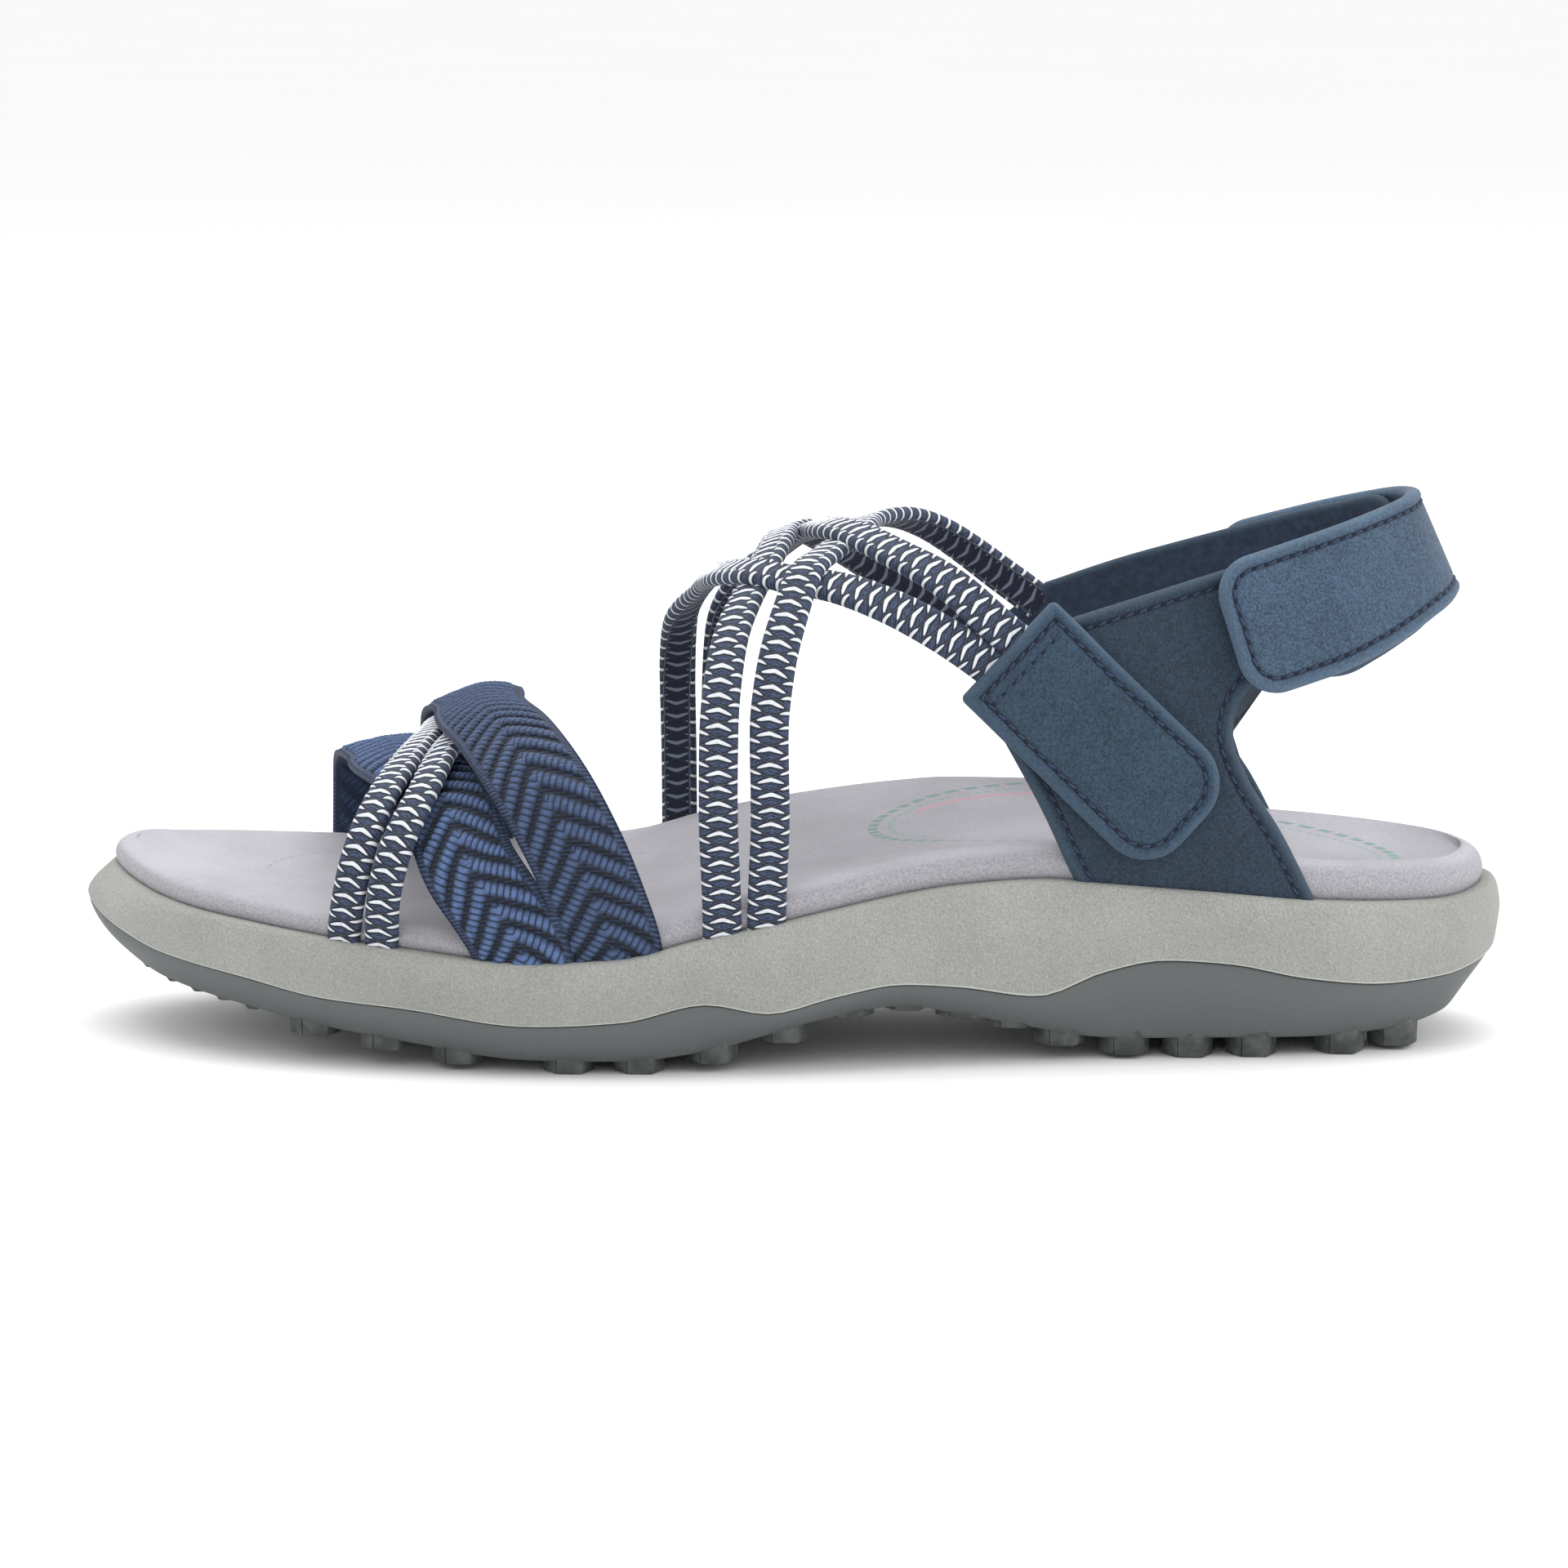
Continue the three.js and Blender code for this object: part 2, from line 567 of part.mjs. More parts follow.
// Outward direction of the last at a point.
function lastOut(at, turn) {
  const step = 0.005;
  const round = THREE.MathUtils.clamp(turn, 2 * step, 1 - 2 * step);
  const along = lastPoint(at + step, round).sub(lastPoint(at - step, round));
  const over = lastPoint(at, round + step).sub(lastPoint(at, round - step));
  return along.cross(over).normalize();
}

// A closed solid, turned the right way out whichever way its faces run.
function outwardSolid(corners, faces) {
  const made = solid(corners, faces);
  return made.volume() > 0 ? made : solid(corners, faces.map(([a, b, c]) => [a, c, b]));
}

// A band through frames { point, out, half }: its inner face lies on the points, its outer face one
// thickness outwards, and its edges are softened by a chamfer, or left square where that is 0.
function band(frames, thickness, soften) {
  const last = frames.length - 1;
  const sections = frames.map(({ point, out, half }, f) => {
    const before = frames[Math.max(0, f - 1)].point;
    const after = frames[Math.min(last, f + 1)].point;
    const across = after.clone().sub(before).cross(out).normalize();
    const edge = Math.min(soften, half * 0.5);
    const plain = [[-half, 0], [half, 0], [half, thickness], [-half, thickness]];
    const corners = soften === 0 ? plain : [
      [-half + edge, 0],
      [half - edge, 0],
      [half, edge],
      [half, thickness - edge],
      [half - edge, thickness],
      [-half + edge, thickness],
      [-half, thickness - edge],
      [-half, edge],
    ];
    return corners.map(([sideways, up]) =>
      point.clone().addScaledVector(across, sideways).addScaledVector(out, up).toArray());
  });
  const sides = sections[0].length;
  const faces = [];
  for (let f = 0; f < last; f += 1) {
    for (let k = 0; k < sides; k += 1) {
      const j = (k + 1) % sides;
      const [a, b, c, d] = [f * sides + k, f * sides + j, (f + 1) * sides + j, (f + 1) * sides + k];
      faces.push([a, b, c], [a, c, d]);
    }
  }
  for (let k = 1; k + 1 < sides; k += 1) {
    faces.push([0, k + 1, k], [last * sides, last * sides + k, last * sides + k + 1]);
  }
  return outwardSolid(sections.flat(), faces);
}

// Frames of a strap over the last, evenly spaced. A strap that ends on a base line goes on down into
// the sole.
function strapFrames(table, width, layer, steps, grow) {
  const rows = table.map((row) => ({ ...row, place: row.at, at: row.turn }));
  const [placeOf, liftOf] = [track(rows, "place"), track(rows, "lift")];
  const [start, end] = [table[0].turn, table[table.length - 1].turn];
  const curve = new THREE.CatmullRomCurve3(
    Array.from({ length: 4 * steps + 1 }, (_, i) => {
      const turn = lerp(start, end, i / (4 * steps));
      return new THREE.Vector3(...lastPoint(placeOf(turn), turn));
    }),
  );
  const frames = Array.from({ length: steps + 1 }, (_, i) => {
    const turn = lerp(start, end, curve.getUtoTmapping(i / steps));
    const out = lastOut(placeOf(turn), turn);
    const point = lastPoint(placeOf(turn), turn).addScaledVector(out, layer * liftOf(turn) - grow);
    return { point, out, half: width / 2 + grow };
  });
  const rooted = ({ point, out, half }) => {
    const level = new THREE.Vector3(out.x, out.y, 0).normalize();
    const down = (depth) => point.clone().setZ(point.z - depth);
    return [{ point: down(1), out: level, half }, { point: down(tuck + grow), out: level, half }];
  };
  const longer = (frame, next) => {
    frame.point.add(frame.point.clone().sub(next.point).setLength(grow));
  };
  if (start === 0) frames.unshift(...rooted(frames[0]).reverse());
  else longer(frames[0], frames[1]);
  if (end === 1) frames.push(...rooted(frames[frames.length - 1]));
  else longer(frames[frames.length - 1], frames[frames.length - 2]);
  return frames;
}

function strap(table, width, thickness, layer, steps, grow) {
  const frames = strapFrames(table, width, layer, steps, grow);
  return band(frames, thickness + 2 * grow, grow > 0 ? 0 : edgeChamfer * thickness);
}

const webbing = (grow) => joined([
  strap(rearWebbingTable, webbingWidth, webbingThickness, cordThickness + gap, webbingSteps, grow),
  strap(frontWebbingTable, webbingWidth, webbingThickness, webbingThickness, webbingSteps, grow),
]);
const toeCord = (table, grow) =>
  strap(table, toeCordWidth, cordThickness, webbingThickness + gap, cordSteps, grow);
const instepTables = [instepFrontTable, instepRearTable, tabUpperTable, tabLowerTable];
const instepCords = (grow) => joined(instepTables.map((table) =>
  strap(table, instepCordWidth, cordThickness, cordThickness - gap, cordSteps, grow)));

// The collar's loop, in a plane that rises to the back: points of it are at [way forward, way inwards].
const loopSide = collarTable.map((row) => [row.forward * collarReach, row.half * collarWidth]);
const loopCurve = new THREE.CatmullRomCurve3(
  [
    ...loopSide.slice(1).reverse().map(([forward, half]) => new THREE.Vector3(forward, -half, 0)),
    ...loopSide.map(([forward, half]) => new THREE.Vector3(forward, half, 0)),
  ],
  false,
  "centripetal",
);
const loopHalf = track(collarTable.map((row) => ({ at: row.forward, half: row.half })), "half");
const collarX = length / 2 - collarLean;
const collarY = (edgeY(collarX, false, 0) + edgeY(collarX, true, 0)) / 2;
const [tiltCos, tiltSin] = [Math.cos(collarTilt), Math.sin(collarTilt)];
const collarTopAt = (x) => collarHeight - (collarX - x) * (tiltSin / tiltCos);

// A point of the loop at a share of its run, a drop below its upper edge and an offset outwards.
function loopFrame(share, drop, offset) {
  const p = loopCurve.getPointAt(share);
  const run = loopCurve.getTangentAt(share);
  const [ahead, aside] = [-run.y, run.x];
  const reach = collarFlare * drop + offset;
  const forward = p.x + ahead * reach;
  const point = new THREE.Vector3(
    collarX - forward * tiltCos + drop * tiltSin,
    collarY + p.y + aside * reach,
    collarHeight - forward * tiltSin - drop * tiltCos,
  );
  return { point, out: new THREE.Vector3(-ahead * tiltCos, aside, -ahead * tiltSin).normalize() };
}

// Share of the loop's run whose way forward is the given one, on the outer or the inner side.
function loopShare(forward, inner) {
  let [back, front] = [0.5, inner ? 1 : 0];
  for (let i = 0; i < 24; i += 1) {
    const middle = (back + front) / 2;
    if (loopCurve.getPointAt(middle).x < forward) back = middle;
    else front = middle;
  }
  return (back + front) / 2;
}

// The ankle's wall at a place of the side view: the collar's loop, led down to the midsole's edge.
function wallPoint(x, z, inner) {
  const way = inner ? 1 : -1;
  const forward = (collarX - x) * tiltCos + (collarHeight - z) * tiltSin;
  const drop = (collarHeight - z) * tiltCos - (collarX - x) * tiltSin;
  const loop = collarWidth * loopHalf(forward / collarReach) + collarFlare * drop;
  const seat = edgeY(x, inner, seatInset);
  const low = topLine(x, seat);
  const rise = (z - low) / (collarTopAt(x) - low);
  return new THREE.Vector3(x, lerp(seat, collarY + way * loop, smooth(rise, 0, 0.55)), z);
}
function wallFrame(x, z, inner) {
  const step = 0.1;
  const along = wallPoint(x + step, z, inner).sub(wallPoint(x - step, z, inner));
  const up = wallPoint(x, z + step, inner).sub(wallPoint(x, z - step, inner));
  const out = along.cross(up).normalize();
  return { point: wallPoint(x, z, inner), out: inner ? out.negate() : out };
}

// A sheet through rows of frames, from an offset outwards by a thickness.
function sheet(rows, offset, thickness) {
  const [m, n] = [rows.length, rows[0].length];
  const corners = [offset, offset + thickness].flatMap((up) =>
    rows.flat().map(({ point, out }) => point.clone().addScaledVector(out, up).toArray()));
  const faces = [];
  const quad = (a, b, c, d) => faces.push([a, b, c], [a, c, d]);
  const inside = (r, k) => r * n + k;
  const outside = (r, k) => m * n + r * n + k;
  for (let r = 0; r + 1 < m; r += 1) {
    for (let k = 0; k + 1 < n; k += 1) {
      quad(inside(r, k), inside(r + 1, k), inside(r + 1, k + 1), inside(r, k + 1));
      quad(outside(r, k), outside(r, k + 1), outside(r + 1, k + 1), outside(r + 1, k));
    }
    quad(inside(r, 0), outside(r, 0), outside(r + 1, 0), inside(r + 1, 0));
    quad(inside(r + 1, n - 1), outside(r + 1, n - 1), outside(r, n - 1), inside(r, n - 1));
  }
  for (let k = 0; k + 1 < n; k += 1) {
    quad(inside(0, k + 1), outside(0, k + 1), outside(0, k), inside(0, k));
    quad(inside(m - 1, k), outside(m - 1, k), outside(m - 1, k + 1), inside(m - 1, k + 1));
  }
  return outwardSolid(corners, faces);
}

// Half a band's width at a distance from its rounded end.
const rounded = (half, distance, radius) =>
  half * Math.sqrt(Math.max(0.02, 1 - (1 - Math.min(1, distance / radius)) ** 2));

// A band along the collar's loop. Its upper edge is a drop below the loop, and its ends are rounded.
function loopBand(from, to, offset, thickness, drop, trim, grow) {
  const run = (to - from) * loopCurve.getLength();
  const frames = Array.from({ length: loopSteps + 1 }, (_, i) => {
    const eased = (1 - Math.cos((Math.PI * i) / loopSteps)) / 2;
    const share = lerp(from, to, lerp(i / loopSteps, eased, 0.6));
    const nearBack = 1 - smooth(Math.abs(share - 0.5) * loopCurve.getLength(), 0, heelStrapReach);
    const half = lerp(heelStrapWidth, heelStrapBack, nearBack) / 2;
    const distance = Math.min(share - from, to - share) / (to - from) * run;
    return {
      ...loopFrame(share, drop + half, offset - grow),
      half: rounded(half - trim, distance, 0.7 * half) + grow,
    };
  });
  return band(frames, thickness + 2 * grow, grow > 0 ? 0 : edgeChamfer * thickness);
}

// Heel strap: lies outside both quarters' arms.
const heelStrap = () => loopBand(
  loopShare(heelStrapReach, false), loopShare(heelStrapReach, true), 0, strapThickness, 0, 0, 0,
);

// A quarter: a stem out of the sole, and an arm back under the heel strap.
function quarter(inner, grow) {
  const columns = 6;
  const tracks = ["front", "frontRise", "rear", "rearRise"].map((name) =>
    track(stemTable.map((row, at) => ({ ...row, at })), name));
  const steps = Math.round(1.5 * (stemTable.length - 1));
  const rows = Array.from({ length: steps + 1 }, (_, i) => {
    const [front, frontRise, rear, rearRise] = tracks.map((each) => each(i / 1.5));
    return Array.from({ length: columns + 1 }, (_, k) => {
      const share = k / columns;
      const x = placeAt(lerp(front, rear, share)) + grow * (2 * share - 1);
      const low = topLine(x, edgeY(x, inner, seatInset));
      const rise = lerp(frontRise, rearRise, share);
      return wallFrame(x, lerp(low, collarTopAt(x), rise) - (i === 0 ? grow : 0), inner);
    });
  });
  const stem = sheet(rows, -gap - leather - grow, leather + 2 * grow);
  const [front, back] = [loopShare(armOverlap, inner), loopShare(armBack, inner)];
  const arm = loopBand(
    Math.min(front, back), Math.max(front, back), -gap - leather - armRecess, leather, armDrop, 0.6, grow,
  );
  return stem.add(arm);
}

// Tab: carries the two rear instep cords across the outer quarter.
function tab() {
  const [start, end] = tabTable;
  const reach = Math.hypot(
    placeAt(end.at) - placeAt(start.at), (end.height - start.height) * collarHeight,
  );
  const frames = Array.from({ length: tabSteps + 1 }, (_, i) => {
    const share = Math.sin((Math.PI / 2) * (i / tabSteps));
    const x = lerp(placeAt(start.at), placeAt(end.at), share);
    const z = collarHeight * lerp(start.height, end.height, share);
    const half = rounded(tabWidth / 2, (1 - share) * reach, 0.8 * tabWidth / 2);
    return { ...wallFrame(x, z, false), half };
  });
  return band(frames, strapThickness, edgeChamfer * strapThickness);
}

// The pieces. Pockets are cut where a strap goes through a neighbour.
const rooted = joined([
  webbing(gap),
  toeCord(frontToeCordTable, gap),
  toeCord(rearToeCordTable, gap),
  instepCords(gap),
  quarter(false, gap),
  quarter(true, gap),
]);
const pieces = {
  outsole: [makeOutsole(), 0x797b7a, 0.75],
  midsole: [makeMidsole(rooted), 0xa5aaa3, 0.85],
  insole: [makeFootbed(rooted), 0xa9a6ae, 0.95],
  toe_webbing: [webbing(0), 0x34507a, 0.85],
  toe_cord_front: [toeCord(frontToeCordTable, 0), 0x2b3d5e, 0.85],
  toe_cord_rear: [toeCord(rearToeCordTable, 0), 0x2b3d5e, 0.85],
  instep_cords: [instepCords(0), 0x2b3d5e, 0.85],
  quarter_outer: [quarter(false, 0).subtract(instepCords(gap)), 0x3f5570, 0.9],
  quarter_inner: [quarter(true, 0).subtract(instepCords(gap)), 0x3f5570, 0.9],
  strap_tab: [tab().subtract(instepCords(gap)), 0x3f5570, 0.9],
  heel_strap: [heelStrap(), 0x3f5570, 0.9],
};

const shoe = new THREE.Group();
Object.entries(pieces).forEach(([name, [body, color, roughness]]) => {
  const { numProp, vertProperties, triVerts } = body.getMesh();
  const corners = [];
  for (let i = 0; i < vertProperties.length; i += numProp) {
    corners.push(...vertProperties.slice(i, i + 3));
  }
  const geometry = new THREE.BufferGeometry();
  geometry.setAttribute("position", new THREE.Float32BufferAttribute(corners, 3));
  geometry.setIndex([...triVerts]);
  geometry.computeVertexNormals();
  const mesh = new THREE.Mesh(
    geometry,
    new THREE.MeshStandardMaterial({ color, roughness, metalness: 0 }),
  );
  mesh.name = name;
  shoe.add(mesh);
});

export default shoe;
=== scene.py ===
# %% [markdown]
# # A strap sandal for water and walking
# The sandal is a left shoe, seen from its outer side. It has a wavy two-part sole, a cupped
# footbed, two woven bands and two cords over the toes, four cords over the instep, and leather
# round the heel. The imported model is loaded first. It fixes every size, so each piece here is made
# to lie where the model's own solid lies, only with much finer surfaces.

# %% Load the frame
import math
import bpy
import numpy as np
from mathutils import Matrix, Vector


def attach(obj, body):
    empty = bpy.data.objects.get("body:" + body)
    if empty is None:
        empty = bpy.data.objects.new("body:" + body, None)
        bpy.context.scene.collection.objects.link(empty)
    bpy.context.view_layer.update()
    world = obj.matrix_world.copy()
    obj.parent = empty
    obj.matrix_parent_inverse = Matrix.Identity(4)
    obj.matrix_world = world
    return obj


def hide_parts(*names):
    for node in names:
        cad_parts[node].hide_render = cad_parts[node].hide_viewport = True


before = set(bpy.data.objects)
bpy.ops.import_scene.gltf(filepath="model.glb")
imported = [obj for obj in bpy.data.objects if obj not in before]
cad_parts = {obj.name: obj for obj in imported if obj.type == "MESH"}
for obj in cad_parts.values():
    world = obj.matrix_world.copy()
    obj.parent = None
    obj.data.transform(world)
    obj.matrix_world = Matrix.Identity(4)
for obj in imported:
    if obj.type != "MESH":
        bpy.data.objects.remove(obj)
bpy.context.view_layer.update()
print("nodes:", sorted(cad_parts))

# %% [markdown]
# ## Measures
# The sandal's sizes are kept in millimetres, as a maker would write them, and turned into metres
# only when a mesh gets its corners. X runs from the toe to the heel, Y to the inner side and Z up.

# %% Main sizes
MM = 0.001
LENGTH = 260.0
BALL_WIDTH = 94.0
HEEL_WIDTH = 66.0
SOLE_HEIGHT = 33.4
TOP_INSET = 1.4
TOE_SLOPE = 3.4
SEAM_INSET = 1.6
TREAD_INSET = 6.2
LUG_DEPTH = 3.7
FOOTBED_EDGE = 6.6
FOOTBED_ROLL = 4.0
EDGE_SET = 1.9
CUP_DEPTH = 3.4
ARCH_LIFT = 1.2
INSTEP_HEIGHT = 88.5
SIDE_FULLNESS = 0.6
BELLY = 3.6
CORD_THICKNESS = 2.6
WEBBING_THICKNESS = 2.1
GAP = 0.3
SEAT_INSET = TOP_INSET + 0.35 + GAP
SEAT_DROP = 1.5
STRAP_THICKNESS = 2.6
LEATHER_THICKNESS = 2.0
print("sole", LENGTH, "by", BALL_WIDTH, "mm")

# %% [markdown]
# The plan of the sole, its side lines and the footbed's edge are short tables along the shoe. A
# row's place is a share of the length. A smooth track runs through each column and never swings
# past it.

# %% Tables of the sole
PLAN = [
    (0.0, 0.117, 0.117), (0.0115, -0.02, 0.245), (0.035, -0.125, 0.32), (0.108, -0.305, 0.415),
    (0.223, -0.436, 0.484), (0.354, -0.5, 0.5), (0.485, -0.515, 0.457), (0.615, -0.518, 0.456),
    (0.75, -0.508, 0.5), (0.877, -0.462, 0.49), (0.958, -0.33, 0.365), (0.986, -0.2, 0.235),
    (1.0, 0.015, 0.015),
]
SIDE = np.array([
    # place, top outer, top inner, seam, base, lug depth
    (0.0, 0.915, 0.915, 0.72, 0.5, 0.4), (0.031, 0.865, 0.88, 0.61, 0.43, 0.5),
    (0.062, 0.8, 0.835, 0.53, 0.35, 0.6), (0.123, 0.75, 0.795, 0.46, 0.275, 0.62),
    (0.181, 0.7, 0.763, 0.38, 0.2, 0.65), (0.238, 0.659, 0.728, 0.35, 0.144, 0.65),
    (0.319, 0.61, 0.7, 0.28, 0.072, 0.65), (0.385, 0.635, 0.74, 0.305, 0.069, 0.65),
    (0.442, 0.737, 0.847, 0.395, 0.117, 0.7), (0.485, 0.8, 0.92, 0.338, 0.2, 0.65),
    (0.531, 0.874, 0.99, 0.416, 0.287, 0.6), (0.573, 0.937, 1.04, 0.467, 0.326, 0.55),
    (0.615, 0.98, 1.07, 0.443, 0.275, 0.6), (0.669, 1.0, 1.066, 0.383, 0.183, 0.65),
    (0.715, 0.973, 1.018, 0.506, 0.123, 0.8), (0.754, 0.943, 0.973, 0.56, 0.112, 0.97),
    (0.8, 0.91, 0.922, 0.536, 0.11, 1.0), (0.854, 0.868, 0.88, 0.452, 0.108, 1.0),
    (0.912, 0.835, 0.856, 0.404, 0.125, 1.0), (0.954, 0.823, 0.844, 0.422, 0.19, 0.8),
    (0.977, 0.838, 0.844, 0.46, 0.315, 0.6), (1.0, 0.862, 0.862, 0.51, 0.46, 0.4),
])
FOOTBED = np.array([
    # place, edge height, cup depth, arch lift
    (0.0, 0.78, 0.25, 0), (0.108, 0.7, 0.3, 0), (0.223, 0.68, 0.35, 0), (0.354, 0.77, 0.4, 0.2),
    (0.485, 0.9, 0.6, 0.9), (0.615, 0.9, 0.7, 1), (0.75, 0.95, 0.9, 0.5), (0.877, 1.03, 1, 0.1),
    (1.0, 0.97, 1, 0),
])


def track(places, values):
    """A smooth line through a table's rows that never swings past them."""
    x, y = np.asarray(places, float), np.asarray(values, float)
    rise = np.diff(y) / np.diff(x)
    slope = np.empty(len(y))
    slope[0], slope[-1] = rise[0], rise[-1]
    both = rise[:-1] + rise[1:]
    turning = rise[:-1] * rise[1:] <= 0
    slope[1:-1] = np.where(turning, 0, 2 * rise[:-1] * rise[1:] / np.where(turning, 1, both))

    def at(v):
        v = np.clip(v, x[0], x[-1])
        i = np.clip(np.searchsorted(x, v, side="left") - 1, 0, len(x) - 2)
        step = x[i + 1] - x[i]
        s = (v - x[i]) / step
        held = (1 + 2 * s) * (1 - s) ** 2 * y[i] + s * s * (3 - 2 * s) * y[i + 1]
        return held + step * s * (1 - s) * ((1 - s) * slope[i] - s * slope[i + 1])

    return at


TOP_OUTER, TOP_INNER, SEAM, BASE, LUG = (track(SIDE[:, 0], SIDE[:, k]) for k in range(1, 6))
BED_EDGE, BED_CUP, BED_ARCH = (track(FOOTBED[:, 0], FOOTBED[:, k]) for k in range(1, 4))
print("top line at the waist:", round(float(TOP_OUTER(0.669)) * SOLE_HEIGHT, 1), "mm")


# %% Lines of the sole
def lerp(a, b, t):
    return a + (b - a) * t


def run_along(line):
    """How far each point of a line lies from its start."""
    return np.append(0, np.cumsum(np.linalg.norm(np.diff(line, axis=0), axis=1)))


def smooth(v, low, high):
    t = np.clip((v - low) / (high - low), 0, 1)
    return t * t * (3 - 2 * t)


def share_at(x):
    return x / LENGTH + 0.5


def place_at(share):
    return (share - 0.5) * LENGTH


def local_width(at):
    return lerp(BALL_WIDTH, HEEL_WIDTH, smooth(at, 0.35, 0.75))


def innerness(y):
    return smooth(y, -0.42 * BALL_WIDTH, 0.42 * BALL_WIDTH)


def top_line(x, y):
    return SOLE_HEIGHT * lerp(TOP_OUTER(share_at(x)), TOP_INNER(share_at(x)), innerness(y))


def seam_line(x):
    return SOLE_HEIGHT * SEAM(share_at(x))


def base_line(x):
    return SOLE_HEIGHT * BASE(share_at(x))


def lug_line(x):
    return np.maximum(0, base_line(x) - LUG_DEPTH * LUG(share_at(x)))


def rim_line(x, y):
    """Height of the footbed's rolled edge."""
    at = share_at(x)
    return top_line(x, y) + FOOTBED_EDGE * BED_EDGE(at) + ARCH_LIFT * BED_ARCH(at) * innerness(y)


print("lug floor under the ball:", round(float(lug_line(-46.5)), 2), "mm")

# %% [markdown]
# The outline of the sole is one closed curve through the plan's points. Rings of it, moved inwards
# and lifted, are all that the sole's parts need.


# %% Outline of the sole
def rounded_curve(points, closed, samples):
    """A smooth curve through points whose pace follows the root of their distance."""
    p = np.asarray(points, float)
    n = len(p)
    spans = n if closed else n - 1
    t = np.arange(samples) / (samples if closed else samples - 1) * spans
    i = np.minimum(t.astype(int), spans - 1)
    w = (t - i)[:, None]
    if closed:
        before, a, b, after = p[(i - 1) % n], p[i % n], p[(i + 1) % n], p[(i + 2) % n]
    else:
        ends = np.vstack([2 * p[0] - p[1], p, 2 * p[-1] - p[-2]])
        before, a, b, after = ends[i], ends[i + 1], ends[i + 2], ends[i + 3]

    def pace(u, v):
        return np.maximum(np.sum((u - v) ** 2, axis=1) ** 0.25, 1e-4)[:, None]

    d0, d1, d2 = pace(before, a), pace(a, b), pace(b, after)
    m1 = ((a - before) / d0 - (b - before) / (d0 + d1) + (b - a) / d1) * d1
    m2 = ((b - a) / d1 - (after - a) / (d1 + d2) + (after - b) / d2) * d1
    c2 = -3 * a + 3 * b - 2 * m1 - m2
    c3 = 2 * a - 2 * b + m1 + m2
    return a + m1 * w + c2 * w ** 2 + c3 * w ** 3


HALF_STEPS = 150
AROUND = 2 * HALF_STEPS
plan_points = [(place_at(at), outer * local_width(at)) for at, outer, inner in PLAN]
plan_points += [(place_at(at), inner * local_width(at)) for at, outer, inner in PLAN[-2:0:-1]]
OUTLINE = rounded_curve(plan_points, True, AROUND)
before, after = np.roll(OUTLINE, 1, axis=0), np.roll(OUTLINE, -1, axis=0)
INWARD = np.stack([before[:, 1] - after[:, 1], after[:, 0] - before[:, 0]], axis=1)
INWARD /= np.linalg.norm(INWARD, axis=1)[:, None]


def ring(inset, height):
    """The outline, moved inwards and lifted. Both may be functions of the place."""
    d = inset(share_at(OUTLINE[:, 0])) if callable(inset) else inset
    moved = OUTLINE + INWARD * (np.zeros(AROUND) + d)[:, None]
    z = height(moved[:, 0], moved[:, 1])
    return np.column_stack([moved, z])


def edge_y(x, inner, inset):
    """Breadth of the plan at x, on one side."""
    points = ring(inset, lambda a, b: 0 * a)
    half = np.vstack([points[:1], points[HALF_STEPS:][::-1]]) if inner else points[: HALF_STEPS + 1]
    order = np.argsort(half[:, 0])
    return np.interp(x, half[order, 0], half[order, 1])


print("outline points:", AROUND)

# %% [markdown]
# ## Tools
# Every new piece starts as a flat grid, the primitive that Blender calls Grid, because a grid keeps
# its rows, columns and UV map in good order. Its corners are then moved to their places, and seams
# and ends are closed in edit mode. The UV map is given real millimetres, so a weave or a row of
# stitches keeps its scale wherever the piece bends.


# %% Tools for meshes
def clear_selection():
    if bpy.context.object and bpy.context.object.mode != "OBJECT":
        bpy.ops.object.mode_set(mode="OBJECT")
    bpy.ops.object.select_all(action="DESELECT")


def only(piece):
    clear_selection()
    piece.select_set(True)
    bpy.context.view_layer.objects.active = piece
    return piece


def grid_piece(name, points, uv=None):
    """A grid primitive whose corners lie on points[row, column], in millimetres."""
    rows, columns = points.shape[:2]
    clear_selection()
    bpy.ops.mesh.primitive_grid_add(x_subdivisions=columns - 1, y_subdivisions=rows - 1, size=1)
    piece = bpy.context.object
    piece.name = piece.data.name = name
    mesh = piece.data
    mesh.vertices.foreach_set("co", (points.reshape(-1, 3) * MM).astype(np.float32).ravel())
    if uv is not None:
        corner = np.empty(len(mesh.loops), int)
        mesh.loops.foreach_get("vertex_index", corner)
        spread_out = uv.reshape(-1, 2)[corner].astype(np.float32).ravel()
        mesh.uv_layers[0].data.foreach_set("uv", spread_out)
    mesh.update()
    return piece


def spread(first, last, share):
    """Points from one line across to another, one row for each pair of points."""
    return first[:, None] + (last - first)[:, None] * share[None, :, None]


def corners_of(piece):
    """A mesh's corners in millimetres."""
    return np.array([v.co[:] for v in piece.data.vertices]) / MM


def copy_of(pattern, corners):
    """A copy of a small mesh, with its corners at new places in millimetres."""
    copy = bpy.data.objects.new(pattern.name, pattern.data.copy())
    bpy.context.collection.objects.link(copy)
    copy.data.vertices.foreach_set("co", (corners * MM).astype(np.float32).ravel())
    return copy


def mark(piece, name, values):
    """Keeps one number on each corner of a piece."""
    layer = piece.data.attributes.new(name, "FLOAT", "POINT")
    layer.data.foreach_set("value", np.asarray(values, np.float32).ravel())


def join(name, pieces):
    """Joins pieces into one. The first one gives it its origin."""
    clear_selection()
    for piece in pieces:
        piece.select_set(True)
    bpy.context.view_layer.objects.active = pieces[0]
    if len(pieces) > 1:
        bpy.ops.object.join()
    pieces[0].name = pieces[0].data.name = name
    return pieces[0]


